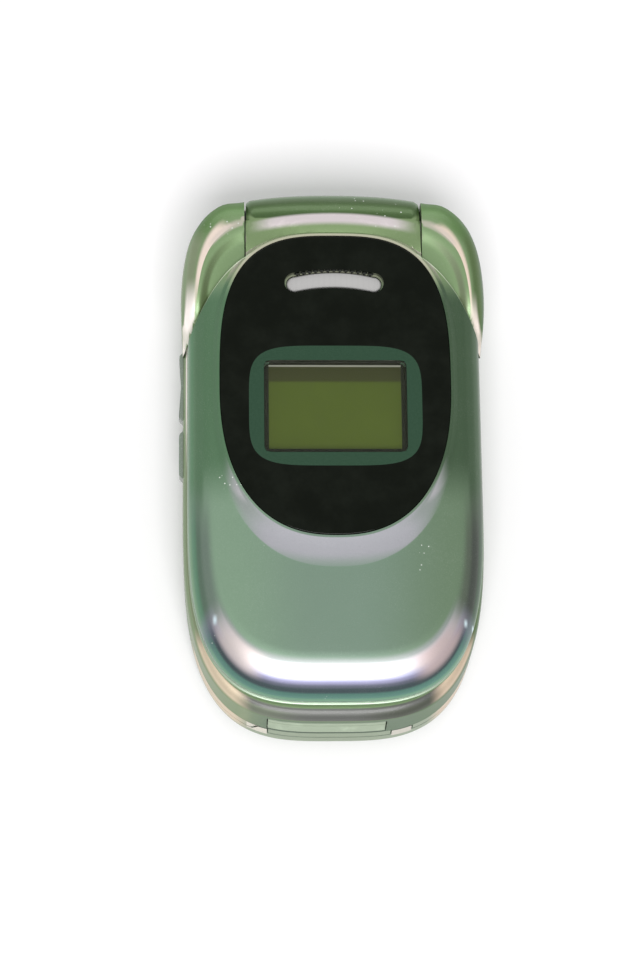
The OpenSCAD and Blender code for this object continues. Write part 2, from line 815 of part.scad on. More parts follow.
// Select key in the middle of the ring
module select_key() {
    color([0.7, 0.73, 0.72])
    translate([0, nav_y, flange_top - flange_t])
        rotate_extrude($fn = 48)
            polygon([[0, 0], [select_r + 0.6, 0], [select_r + 0.6, flange_t], [select_r, flange_t],
                [select_r, 1.5], [select_r - 0.5, deck_z + key_rise - flange_top + flange_t],
                [0, deck_z + key_rise - flange_top + flange_t]]);
}

// Bar let into the left wall with a rim inside it
module side_bar(y, l, crown) {
    out = -hw - side_out;
    translate([0, y, side_z]) {
        translate([0, 0, -side_h / 2])
            linear_extrude(side_h)
                polygon([[side_in + side_rim, -l / 2], [side_in + side_rim, l / 2], [-hw, l / 2],
                    [out, l / 2 - 0.8],
                    [out + crown, l / 10], [out + crown, -l / 10], [out, -l / 2 + 0.8], [-hw, -l / 2]]);
        translate([side_in, -l / 2 - side_rim, -side_h / 2 - side_rim])
            cube([side_rim, l + 2 * side_rim, side_h + side_rim / 2]);
    }
}

// Volume rocker, dished between its two pads
module volume_rocker() {
    color([0.55, 0.6, 0.55])
    side_bar(rocker_y, rocker_l, side_out / 2);
}

// Side key under the rocker
module side_key() {
    color([0.55, 0.6, 0.55])
    side_bar(side_key_y, side_key_l, 0);
}

// Headset cover in its seat, hinged at the end toward the hinge
module jack_cover() {
    color([0.4, 0.45, 0.4])
    translate([jack_face_x - jack_cover_t, jack_y - jack_cover_l / 2, side_z - side_h / 2])
        cube([jack_cover_t, jack_cover_l, side_h]);
}

// Connector cover, shaped to the bottom end
module connector_cover() {
    color([0.62, 0.68, 0.58])
    intersection() {
        difference() {
            loft([[casing(0, rake(seam_z), 0), seam_z], [casing(0, rake(port_top + 0.2), 0), port_top + 0.2]]);
            loft([[casing(cover_t, rake(seam_z) + cover_t, 0), seam_z - 0.1],
                [casing(cover_t, rake(port_top + 0.3) + cover_t, 0), port_top + 0.3]]);
        }
        block(port_x, -bottom_y, port_w, 20, seam_z + 0.4, port_top);
    }
}

// ---------- Battery ----------

// Battery case: rounded back with the bay for the cell and two hooks at its end
module battery_case() {
    color([0.44, 0.5, 0.44]) {
        difference() {
            rear_form(batt_h);
            block(0, batt_y + 50, 2 * hw + 2, 100, -1, batt_h + 1);
            block(0, cell_y, cell_w + 2 * batt_gap, cell_l + 2 * batt_gap, case_t, batt_h + 1);
            // Slanted end that the latch's nose reaches under
            across([[batt_y + 1, ledge_z], [batt_y, ledge_z], [batt_y - ledge_l, 0], [batt_y - ledge_l, -1],
                [batt_y + 1, -1]], -hw - 1, hw + 1);
        }
        for (x = hook_places)
            intersection() {
                block(x, -bottom_y, hook_w, 2 * hook_l, batt_h - 0.4, hook_top);
                rear_form(seam_z);
            }
    }
}

// Cell with its contact pads
module battery_cell() {
    color([0.3, 0.33, 0.4])
    block(0, cell_y, cell_w, cell_l, case_t + 0.05, batt_h - 0.2);
}

// Battery latch: ribbed slide with a nose over the pack's ledge
module battery_latch() {
    y0 = batt_y + batt_gap;
    ribs = 4;
    color([0.5, 0.55, 0.5]) {
        difference() {
            block(0, y0 + latch_l / 2, latch_w, latch_l, 0.3, latch_h);
            for (i = [1:ribs]) block(0, y0 + i * latch_l / (ribs + 1), latch_w - 1.6, 0.3, 0, 0.7);
        }
        across([[y0 - nose_l, 0.3], [y0 - nose_l, ledge_z - 0.95], [y0 - 0.1, ledge_z - 0.3],
            [y0, ledge_z - 0.3], [y0, 0.3]], -latch_w * 0.3, latch_w * 0.3);
    }
}

// Spring strip behind the latch, folded six times and drawn at its pressed length
module latch_spring() {
    y0 = batt_y + batt_gap + latch_l + latch_travel + 0.05;
    y1 = batt_y + latch_room - 0.1;
    folds = 6;
    pitch = latch_w * 0.8 / folds;
    line = [for (i = [0:folds]) [(i - folds / 2) * pitch, i % 2 == 0 ? y0 : y1 - 0.25]];
    color([0.7, 0.71, 0.72])
    slab(concat(line, [for (i = [folds:-1:0]) line[i] + [0, 0.25]]), 0.8, latch_h - 0.4);
}

// ---------- Lid ----------

// Everything outside the ears' shoulders, up to the hinge axis
module lid_cut() {
    both() shoulder(turn_gap);
    block(0, hinge_y + 50, 2 * hw + 4, 100, 0, face_z + 9);
}

// Lid cover: domed outer half with the barrel, the bezel and the lens seat
module lid_cover() {
    roll_z = face_z - lid_roll_h;
    color([0.5, 0.57, 0.5])
    difference() {
        union() {
            difference() {
                union() {
                    loft(concat([[lid_outline(0, 0, 0), lid_seam]],
                        [for (a = [0:18:90]) [lid_outline(lid_roll_side * (1 - cos(a)),
                            lid_roll_end * (1 - cos(a)), 0), roll_z + lid_roll_h * sin(a)]]));
                    lens_apron();
                }
                lid_cut();
                lid_cavity();
            }
            barrel();
            for (s = lid_screw_places) post(s[0], s[1], lid_boss_r, lid_seam, roof_low + 0.1);
        }
        // Bore through the barrel, the seat of the lens and the two windows
        axle(-tongue_hw - 1, tongue_hw + 1, hinge_bore);
        slab(lens_outline(seat_gap, seat_gap, seat_gap), lens_low - seat, lens_top + 1);
        block(0, outer_win_y, outer_win_w, outer_win_h, roof_low - 1, lens_top);
        slab(bar_outline(bar_gap), roof_low - 1, lens_top);
        for (s = lid_screw_places) post(s[0], s[1], screw_r + fit / 2, lid_seam - 1, roof_low - 0.5);
    }
}

// Slope that rises from the lid's face to the rim around the lens
module lens_apron() {
    loft([[lens_outline(apron_side, apron_low, rim_w), roof_low],
        [lens_outline(apron_side, apron_low, rim_w), face_z + 0.03],
        [lens_outline(rim_w, rim_w, rim_w), lens_top]]);
}

// Hinge barrel, fuller in the middle than at its ends
module barrel() {
    steps = 8;
    translate([0, hinge_y, hinge_z])
        rotate([0, 90, 0])
            rotate_extrude($fn = 64)
                polygon(concat([[0, tongue_hw], [0, -tongue_hw]],
                    [for (i = [-steps:steps]) let (x = tongue_hw * i / steps) [barrel_radius(x), x]]));
}

// Hollow of the lid cover, stepped in under its rolled edge
module lid_cavity() {
    step_z = face_z - lid_roll_h + 0.5;
    reach = hinge_y - barrel_r - 1.2;
    slab(cavity(cavity_in, cavity_in, 0), lid_z, step_z + 0.01);
    slab(cavity(cavity_step[0], cavity_step[1], 1), step_z, roof_low);
    block(0, reach / 2, 2 * (tongue_hw - cavity_in), reach, lid_z, roof_low);
}

// Outline of the lid's hollow, drawn in by so much at the sides, the lower end and the upper end
function cavity(side, low, high) =
    outline(lid_hw - side, lid_end + waist_y - low, cavity_high - high, lid_curve, lid_curve, waist_y, 40);

// Lid inner half: frame around the main display, with the earpiece's slots
module lid_inner() {
    color([0.6, 0.65, 0.6])
    difference() {
        slab(lid_outline(0.15, 0.15, 0), lid_z, lid_seam);
        lid_cut();
        axle(-ear_x, ear_x, barrel_r + 0.15);
        slab(cavity(cavity_in, cavity_in, 0), lid_z + inner_floor, lid_seam + 1);
        // Window and the seat of the main lens
        block(0, main_win_y, main_win_w, main_win_h, lid_z - 1, lid_seam);
        translate([0, main_win_y])
            slab(pill(main_win_w + 2 * lens_border + lens_fit, main_win_h + 2 * lens_border + lens_fit, 9, 32),
                lid_z - 1, lid_z + main_lens_t + seat);
        for (i = [-2:2])
            block(i * ear_pitch, ear_slot_y, ear_slot[0], ear_slot[1] - abs(i) * 0.5, lid_z - 1, lid_seam);
        for (s = lid_screw_places) {
            post(s[0], s[1], screw_r + 0.1, lid_z - 1, lid_seam + 1);
            post(s[0], s[1], screw_head_r + 0.1, lid_z - 1, lid_z + 0.75);
        }
    }
}

// Outer lens: oval, with the slot of the indicator bar
module outer_lens() {
    color([0.08, 0.1, 0.08])
    difference() {
        slab(lens_outline(0, 0, 0), lens_low, lens_top);
        slab(bar_outline(slot_gap), lens_low - 1, lens_top + 1);
    }
}

// Indicator bar: light guide at the bottom of its slot
module indicator_bar() {
    color([0.66, 0.67, 0.66])
    slab(bar_outline(0), roof_low + 0.1, lens_low + 0.2);
}

// Outer display module under the lens
module outer_display() {
    color([0.33, 0.4, 0.16])
    block(0, outer_win_y, outer_win_w + outer_border, outer_win_h + outer_border, outer_display_z,
        roof_low - 0.1);
}

// Lid board between the two displays
module lid_board() {
    color([0.1, 0.35, 0.2])
    block(0, main_win_y - 1, main_win_w + board_border, main_win_h + board_border,
        outer_display_z - 0.8 - seat, outer_display_z - seat);
}

// Main display module
module main_display() {
    color([0.15, 0.16, 0.2])
    block(0, main_win_y, main_win_w + main_border[0], main_win_h + main_border[1],
        lid_z + inner_floor + seat, outer_display_z - 1);
}

// Main lens in its seat in the inner half
module main_lens() {
    color([0.1, 0.11, 0.12])
    translate([0, main_win_y])
        slab(pill(main_win_w + 2 * lens_border, main_win_h + 2 * lens_border, 9, 32),
            lid_z + seat, lid_z + main_lens_t);
}

// Earpiece behind its slots
module earpiece() {
    color([0.2, 0.2, 0.22])
    translate([0, ear_slot_y, lid_z + inner_floor + 0.05])
        rotate_extrude($fn = 40)
            polygon([[0, 0], [ear_piece[0], 0], [ear_piece[0], ear_piece[2]], [ear_piece[1], ear_piece[2]],
                [ear_piece[1], ear_piece[3]], [0, ear_piece[3]]]);
}

// Lid screws, driven from the inner face
module lid_screws() {
    z = lid_z + 0.15;
    color([0.62, 0.63, 0.66])
    for (s = lid_screw_places) {
        post(s[0], s[1], screw_head_r, z, z + 0.58);
        post(s[0], s[1], screw_r, z + 0.58, lid_z + 4.5);
    }
}

// Rubber pads over the lid screws, which meet the deck
module lid_bumpers() {
    color([0.15, 0.15, 0.15])
    for (s = lid_screw_places) post(s[0], s[1], screw_head_r, deck_z + 0.1, lid_z + 0.1);
}

// Magnet that the base senses when the lid is closed
module lid_magnet() {
    color([0.5, 0.5, 0.52])
    block(-9.5, ear_slot_y, 4, 2.4, lid_z + inner_floor + 0.05, lid_z + inner_floor + 1.6);
}

// Hinge can: tube in the right end of the barrel
module hinge_can() {
    x1 = tongue_hw - 0.1;
    x0 = ear_x - can_l;
    color([0.7, 0.71, 0.74])
    difference() {
        axle(x0, x1, hinge_bore - fit);
        axle(x0 - 1, x1 + 1, shaft_r + fit);
        axle(x0 + 1.6, x1 - 1.4, spring_r + 0.3);
    }
}

// Hinge spring: coil around the shaft inside the can
module hinge_spring() {
    x0 = ear_x - can_l + 1.9;
    x1 = tongue_hw - 1.8;
    coils = 5;
    steps = 12;
    wire = 0.26;
    mean = (shaft_r + spring_r) / 2 + 0.12;
    count = coils * steps;
    rings = [for (i = [0:count]) let (a = 360 * i / steps, x = x0 + wire + (x1 - x0 - 2 * wire) * i / count)
        [for (k = [0:5]) let (r = mean + wire * cos(60 * k)) [x - wire * sin(60 * k), r * cos(a), r * sin(a)]]];
    n = 6;
    points = [for (r = rings) each r];
    sides = [for (k = [0:count - 1]) for (i = [0:n - 1]) let (a = k * n + i, b = k * n + (i + 1) % n)
        each [[a, b, a + n], [b, b + n, a + n]]];
    color([0.6, 0.61, 0.64])
    translate([0, hinge_y, hinge_z])
        polyhedron(points, concat(sides, [[for (i = [n - 1:-1:0]) i], [for (i = [0:n - 1]) count * n + i]]));
}

// Hinge flex: film wound in the barrel, with its tail through the bush
module hinge_flex() {
    turns = 2.5;
    steps = 50;
    inner = 0.9;
    pitch = (hinge_bore - 0.5 - inner) / turns;
    curve = [for (i = [0:steps]) let (a = 360 * turns * i / steps, r = inner + pitch * a / 360)
        [r * cos(a), r * sin(a)]];
    back = [for (i = [steps:-1:0]) let (a = 360 * turns * i / steps, r = inner + pitch * a / 360 + 0.15)
        [r * cos(a), r * sin(a)]];
    color([0.75, 0.5, 0.2])
    translate([0, hinge_y, hinge_z])
        rotate([0, 90, 0]) {
            translate([0, 0, -ear_x + bush_l + 0.4])
                linear_extrude(5)
                    polygon(concat(curve, back));
            translate([inner, -0.1, -ear_x - 2])
                cube([0.15, 1.4, bush_l + 7]);
        }
}

base_front();
base_rear();
base_screws();
circuit_board();
shield_cans();
dome_sheet();
keymat();
loudspeaker();
vibration_motor();
microphone();
headset_jack();
bottom_connector();
battery_contacts();
antenna();
side_switches();
hinge_shaft();
hinge_bush();
volume_rocker();
side_key();
jack_cover();
connector_cover();
battery_case();
battery_cell();
battery_latch();
latch_spring();
color([0.7, 0.73, 0.72]) key(-soft_x, soft_y, soft_w, soft_h, soft_rim);  // soft_key_left
color([0.7, 0.73, 0.72]) key(soft_x, soft_y, soft_w, soft_h, soft_rim);  // soft_key_right
nav_ring();
select_key();
color([0.3, 0.6, 0.35]) key(-key_pitch_x, call_row_y, call_w, call_h, soft_rim);  // call_key
color([0.75, 0.78, 0.75]) key(0, clear_y, clear_w, clear_h, clear_rim);  // clear_key
color([0.7, 0.3, 0.28]) key(key_pitch_x, call_row_y, call_w, call_h, soft_rim);  // end_key
lid_cover();
lid_inner();
outer_lens();
indicator_bar();
outer_display();
main_display();
main_lens();
lid_board();
earpiece();
lid_screws();
lid_bumpers();
hinge_can();
hinge_spring();
hinge_flex();
lid_magnet();
for (i = [0:11])
    digit_key(i);
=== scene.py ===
"""Flip phone, closed on a pale floor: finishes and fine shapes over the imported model."""
import json
import logging
import math
from dataclasses import astuple, dataclass
from enum import Enum
from typing import Callable, Iterable, Sequence

import bmesh
import bpy
from mathutils import Matrix, Vector

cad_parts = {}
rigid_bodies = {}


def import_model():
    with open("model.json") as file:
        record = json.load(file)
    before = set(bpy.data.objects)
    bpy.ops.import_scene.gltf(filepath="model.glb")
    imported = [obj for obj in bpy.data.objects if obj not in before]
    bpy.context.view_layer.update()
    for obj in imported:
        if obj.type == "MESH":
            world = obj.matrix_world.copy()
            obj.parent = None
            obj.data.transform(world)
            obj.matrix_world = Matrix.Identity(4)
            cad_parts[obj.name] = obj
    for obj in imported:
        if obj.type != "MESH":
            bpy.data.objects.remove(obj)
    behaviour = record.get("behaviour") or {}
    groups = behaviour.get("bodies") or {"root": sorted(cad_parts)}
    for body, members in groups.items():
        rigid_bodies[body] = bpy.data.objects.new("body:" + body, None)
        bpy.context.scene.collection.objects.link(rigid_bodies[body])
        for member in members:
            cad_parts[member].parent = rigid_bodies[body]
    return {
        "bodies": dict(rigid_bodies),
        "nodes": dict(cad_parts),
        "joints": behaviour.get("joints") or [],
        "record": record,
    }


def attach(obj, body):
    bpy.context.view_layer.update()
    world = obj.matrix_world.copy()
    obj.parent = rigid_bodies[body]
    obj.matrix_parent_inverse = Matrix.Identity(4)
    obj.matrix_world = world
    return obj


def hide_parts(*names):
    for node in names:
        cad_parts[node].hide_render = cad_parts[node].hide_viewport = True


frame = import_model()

LOG = logging.getLogger("phone")
MM = 0.001

# Segments of a plain outline and of a casing's, and steps of the search for a place on an outline
SEGMENTS = 256
CASING_SEGMENTS = 288
ROOT_STEPS = 14

# Least angle of an edge that is rounded, in radians, and of one that stays sharp in shading, in degrees
SHARP = 0.9
LID_CREASE = 30
FINE_CREASE = 35

# Gaps that are closed at a lathe's poles and in a finished mesh, in millimetres
POLE_GAP = 1e-5
WELD_GAP = 1e-4

Colour = tuple[float, float, float]
Height = float | Callable[[float, float], float]


def srgb(red: int, green: int, blue: int) -> Colour:
    """Turns a screen colour into the linear one that a shader takes.

    Args:
        red: red from 0 to 255.
        green: green from 0 to 255.
        blue: blue from 0 to 255.

    Returns:
        The three linear parts.
    """
    parts = [value / 255 for value in (red, green, blue)]
    return tuple(p / 12.92 if p <= 0.04045 else ((p + 0.055) / 1.055) ** 2.4 for p in parts)


# ---------- Outlines and forms ----------


@dataclass(frozen=True)
class Outline:
    """Rounded outline with its own reach and sharpness toward each end, in millimetres."""

    half: float
    low: float
    high: float
    curve_low: float = 4.0
    curve_high: float = 4.0
    x: float = 0.0
    y: float = 0.0
    curve_side: float = 0.0

    def point(self, bearing: float) -> tuple[float, float]:
        """Gives the place on the outline in a direction from its middle.

        Args:
            bearing: direction in radians, from +X towards +Y.

        Returns:
            X and Y.
        """
        c, s = math.cos(bearing), math.sin(bearing)
        reach, power = (self.low, self.curve_low) if s < 0 else (self.high, self.curve_high)
        aside, along = abs(c) / self.half, abs(s) / reach
        if not self.curve_side or s < 0:
            span = (aside ** power + along ** power) ** (-1 / power)
            return self.x + span * c, self.y + span * s
        span = 1 / max(aside, along)
        for _ in range(ROOT_STEPS):
            across, onward = (span * aside) ** self.curve_side, (span * along) ** power
            span -= (across + onward - 1) * span / (self.curve_side * across + power * onward)
        return self.x + span * c, self.y + span * s

    def grown(self, margin: float) -> "Outline":
        """Returns the outline moved outwards by a margin."""
        return Outline(self.half + margin, self.low + margin, self.high + margin,
                       self.curve_low, self.curve_high, self.x, self.y, self.curve_side)

    def toward(self, other: "Outline", t: float) -> "Outline":
        """Returns the outline that lies a share of the way to another one."""
        return Outline(*[a + (b - a) * t for a, b in zip(astuple(self), astuple(other))])


def pill(x: float, y: float, width: float, length: float, curve: float = 4.0) -> Outline:
    """Gives the outline of a key or window.

    Args:
        x: middle across the phone.
        y: middle along the phone.
        width: full width.
        length: full length.
        curve: sharpness of the corners.

    Returns:
        The outline.
    """
    return Outline(width / 2, length / 2, length / 2, curve, curve, x, y)


@dataclass(frozen=True)
class Ring:
    """One outline of a loft and its height."""

    outline: Outline
    z: Height

    def seat(self, vertex: bmesh.types.BMVert, bearing: float) -> None:
        """Moves a vertex to the outline's place in a direction."""
        x, y = self.outline.point(bearing)
        vertex.co = (x, y, self.z(x, y) if callable(self.z) else self.z)


class Form:
    """A mesh in the making, in millimetres."""

    def __init__(self, mesh: bmesh.types.BMesh | None = None) -> None:
        """Starts empty or from a mesh."""
        self.mesh = mesh or bmesh.new()

    @staticmethod
    def loft(rings: Sequence[Ring], segments: int = SEGMENTS) -> "Form":
        """Raises a skin through a run of outlines and closes its ends.

        Args:
            rings: the outlines in order.
            segments: corners of each.

        Returns:
            The closed form.
        """
        form = Form()
        mesh = form.mesh
        verts = bmesh.ops.create_circle(mesh, segments=segments, radius=1)["verts"]
        bearings = {v: math.atan2(v.co.y, v.co.x) for v in verts}
        loop = list({e for v in verts for e in v.link_edges})
        first = loop
        for v in verts:
            rings[0].seat(v, bearings[v])
        for ring in rings[1:]:
            old = {tuple(v.co): bearings[v] for v in verts}
            grown = bmesh.ops.extrude_edge_only(mesh, edges=loop)["geom"]
            verts = [g for g in grown if isinstance(g, bmesh.types.BMVert)]
            bearings = {v: old[tuple(v.co)] for v in verts}
            fresh = set(verts)
            loop = list({e for v in verts for e in v.link_edges if set(e.verts) <= fresh})
            for v in verts:
                ring.seat(v, bearings[v])
        bmesh.ops.contextual_create(mesh, geom=first)
        bmesh.ops.contextual_create(mesh, geom=loop)
        bmesh.ops.recalc_face_normals(mesh, faces=mesh.faces[:])
        return form

    @staticmethod
    def slab(outline: Outline, low: float, high: float, segments: int = SEGMENTS) -> "Form":
        """Raises a flat outline between two heights."""
        return Form.loft([Ring(outline, low), Ring(outline, high)], segments)

    @staticmethod
    def prism(points: Iterable[tuple[float, float]], low: float, high: float) -> "Form":
        """Raises a polygon between two heights.

        Args:
            points: its corners in order.
            low: height of the lower face.
            high: height of the upper face.

        Returns:
            The closed form.
        """
        form = Form()
        verts = [form.mesh.verts.new((x, y, low)) for x, y in points]
        face = bmesh.ops.contextual_create(form.mesh, geom=verts)["faces"][0]
        grown = bmesh.ops.extrude_face_region(form.mesh, geom=[face], use_keep_orig=True)["geom"]
        moved = [g for g in grown if isinstance(g, bmesh.types.BMVert)]
        bmesh.ops.translate(form.mesh, verts=moved, vec=(0, 0, high - low))
        bmesh.ops.recalc_face_normals(form.mesh, faces=form.mesh.faces[:])
        return form

    @staticmethod
    def box(low: Sequence[float], high: Sequence[float]) -> "Form":
        """Makes a box between two corners."""
        form = Form()
        verts = bmesh.ops.create_cube(form.mesh, size=1)["verts"]
        size = [b - a for a, b in zip(low, high)]
        bmesh.ops.scale(form.mesh, verts=verts, vec=size)
        bmesh.ops.translate(form.mesh, verts=verts, vec=[(a + b) / 2 for a, b in zip(low, high)])
        return form

    @staticmethod
    def lathe(profile: Sequence[tuple[float, float]], axis: str = "Z",
              centre: Sequence[float] = (0, 0, 0), steps: int = 96) -> "Form":
        """Turns a profile about an axis.

        Args:
            profile: radius and place along the axis of each corner, ends on the axis or closed.
            axis: X or Z.
            centre: a place on the axis.
            steps: segments of the turn.

        Returns:
            The closed form.
        """
        form = Form()
        side, up = Vector((1, 0, 0)), Vector((0, 0, 1))
        along, out = (side, up) if axis == "X" else (up, side)
        verts = [form.mesh.verts.new(out * r + along * h) for r, h in profile]
        edges = [form.mesh.edges.new(pair) for pair in zip(verts, verts[1:])]
        if profile[0][0] > 0:
            edges.append(form.mesh.edges.new((verts[-1], verts[0])))
        bmesh.ops.spin(form.mesh, geom=verts + edges, cent=(0, 0, 0), axis=along, dvec=(0, 0, 0),
                       angle=2 * math.pi, steps=steps, use_merge=True, use_duplicate=False)
        bmesh.ops.remove_doubles(form.mesh, verts=form.mesh.verts[:], dist=POLE_GAP)
        bmesh.ops.recalc_face_normals(form.mesh, faces=form.mesh.faces[:])
        return form.moved(centre)

    @staticmethod
    def rod(radius: float, low: float, high: float, centre: Sequence[float], steps: int,
            axis: str = "Z") -> "Form":
        """Makes a plain round.

        Args:
            radius: its radius.
            low: place of one end along the axis.
            high: place of the other end.
            centre: a place on the axis.
            steps: segments of the turn.
            axis: X or Z.

        Returns:
            The closed form.
        """
        return Form.lathe([(0, low), (radius, low), (radius, high), (0, high)], axis, centre, steps)

    def moved(self, offset: Sequence[float]) -> "Form":
        """Shifts the form and returns it."""
        bmesh.ops.translate(self.mesh, verts=self.mesh.verts[:], vec=offset)
        return self

    def mirrored(self) -> "Form":
        """Returns a copy reflected to the other side of the phone."""
        copy = self.mesh.copy()
        bmesh.ops.scale(copy, verts=copy.verts[:], vec=(-1, 1, 1))
        bmesh.ops.reverse_faces(copy, faces=copy.faces[:])
        return Form(copy)

    def with_parts(self, others: Iterable["Form"]) -> "Form":
        """Adds other forms as loose parts and returns this one."""
        for other in others:
            data = bpy.data.meshes.new("part")
            other.mesh.to_mesh(data)
            self.mesh.from_mesh(data)
            bpy.data.meshes.remove(data)
        return self

    def rounded(self, width: float, segments: int = 3, above: float = 0.6,
                where: Callable[[bmesh.types.BMEdge], bool] | None = None) -> "Form":
        """Rounds the sharp edges.

        Args:
            width: size of the rounding.
            segments: steps of the rounding.
            above: least angle of an edge that counts as sharp.
            where: a further test that an edge has to pass.

        Returns:
            The form itself.
        """
        edges = [e for e in self.mesh.edges if len(e.link_faces) == 2 and e.calc_face_angle() > above
                 and (where is None or where(e))]
        bmesh.ops.bevel(self.mesh, geom=edges, offset=width, offset_type="OFFSET", affect="EDGES",
                        segments=segments, profile=0.5, material=-1, clamp_overlap=True)
        return self

    def _scratch(self) -> bpy.types.Object:
        """Puts the form into a scratch object for a Boolean."""
        data = bpy.data.meshes.new("scratch")
        self.mesh.to_mesh(data)
        thing = bpy.data.objects.new("scratch", data)
        bpy.context.scene.collection.objects.link(thing)
        return thing

    def _combined(self, other: "Form", operation: str) -> "Form":
        """Combines the form with another by an exact Boolean.

        Args:
            other: the other closed form.
            operation: DIFFERENCE, UNION or INTERSECT.

        Returns:
            A new form.
        """
        target, tool = self._scratch(), other._scratch()
        step = target.modifiers.new("combine", "BOOLEAN")
        step.object, step.operation, step.solver = tool, operation, "EXACT"
        result = bmesh.new()
        result.from_object(target, bpy.context.evaluated_depsgraph_get())
        for thing in (target, tool):
            data = thing.data
            bpy.data.objects.remove(thing)
            bpy.data.meshes.remove(data)
        return Form(result)

    def minus(self, other: "Form") -> "Form":
        """Returns the form less another."""
        return self._combined(other, "DIFFERENCE")

    def plus(self, other: "Form") -> "Form":
        """Returns the form merged with another."""
        return self._combined(other, "UNION")

    def within(self, other: "Form") -> "Form":
        """Returns what the form shares with another."""
        return self._combined(other, "INTERSECT")

    def piece(self, name: str, body: str, materials: Sequence[bpy.types.Material], slot: str,
              replaces: Sequence[str] = (), crease: float = 32.0) -> bpy.types.Object:
        """Turns the form into a finished piece that rides on a body.

        Args:
            name: name of the piece.
            body: the body that it rides on.
            materials: its finishes, in the order of its faces' indices.
            slot: the record's material slot; not used.
            replaces: the CAD nodes that it stands for.
            crease: angle in degrees above which an edge stays sharp.

        Returns:
            The piece.
        """
        bmesh.ops.remove_doubles(self.mesh, verts=self.mesh.verts[:], dist=WELD_GAP)
        bmesh.ops.transform(self.mesh, verts=self.mesh.verts[:], matrix=Matrix.Scale(MM, 4))
        limit = math.radians(crease)
        for face in self.mesh.faces:
            face.smooth = True
        for line in self.mesh.edges:
            line.smooth = len(line.link_faces) == 2 and line.calc_face_angle() < limit
        data = bpy.data.meshes.new(name)
        self.mesh.to_mesh(data)
        thing = bpy.data.objects.new(name, data)
        bpy.context.scene.collection.objects.link(thing)
        for material in materials:
            data.materials.append(material)
        thing.modifiers.new("normals", "WEIGHTED_NORMAL").keep_sharp = True
        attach(thing, body)
        if replaces:
            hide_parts(*replaces)
        LOG.info("%s: %d faces", name, len(data.polygons))
        return thing


# ---------- Shader graphs ----------


class Signal:
    """A shader socket that takes part in expressions."""

    def __init__(self, graph: "Graph", socket: bpy.types.NodeSocket) -> None:
        """Wraps a socket of a graph."""
        self.graph, self.socket = graph, socket

    def _math(self, operation: str, *values: "Signal | float") -> "Signal":
        """Adds a Math node on numbers or signals."""
        node = self.graph.node("ShaderNodeMath", {"operation": operation}, dict(enumerate(values)))
        return Signal(self.graph, node.outputs[0])

    def __add__(self, other: "Signal | float") -> "Signal":
        """Adds."""
        return self._math("ADD", self, other)

    __radd__ = __add__

    def __sub__(self, other: "Signal | float") -> "Signal":
        """Subtracts."""
        return self._math("SUBTRACT", self, other)

    def __rsub__(self, other: "Signal | float") -> "Signal":
        """Subtracts from a number."""
        return self._math("SUBTRACT", other, self)

    def __mul__(self, other: "Signal | float") -> "Signal":
        """Multiplies."""
        return self._math("MULTIPLY", self, other)

    __rmul__ = __mul__

    def __truediv__(self, other: "Signal | float") -> "Signal":
        """Divides."""
        return self._math("DIVIDE", self, other)

    def __pow__(self, other: "Signal | float") -> "Signal":
        """Raises to a power."""
        return self._math("POWER", self, other)

    def __abs__(self) -> "Signal":
        """Drops the sign."""
        return self._math("ABSOLUTE", self)

    def ramp(self, start: float, end: float) -> "Signal":
        """Rises smoothly from 0 to 1 between two values."""
        node = self.graph.node("ShaderNodeMapRange", {"interpolation_type": "SMOOTHSTEP"},
                               {"Value": self, "From Min": start, "From Max": end})
        return Signal(self.graph, node.outputs["Result"])

    def most(self, other: "Signal | float") -> "Signal":
        """Keeps the larger value."""
        return self._math("MAXIMUM", self, other)

    def wave(self) -> "Signal":
        """Takes the sine."""
        return self._math("SINE", self)


Feed = Signal | float | Colour


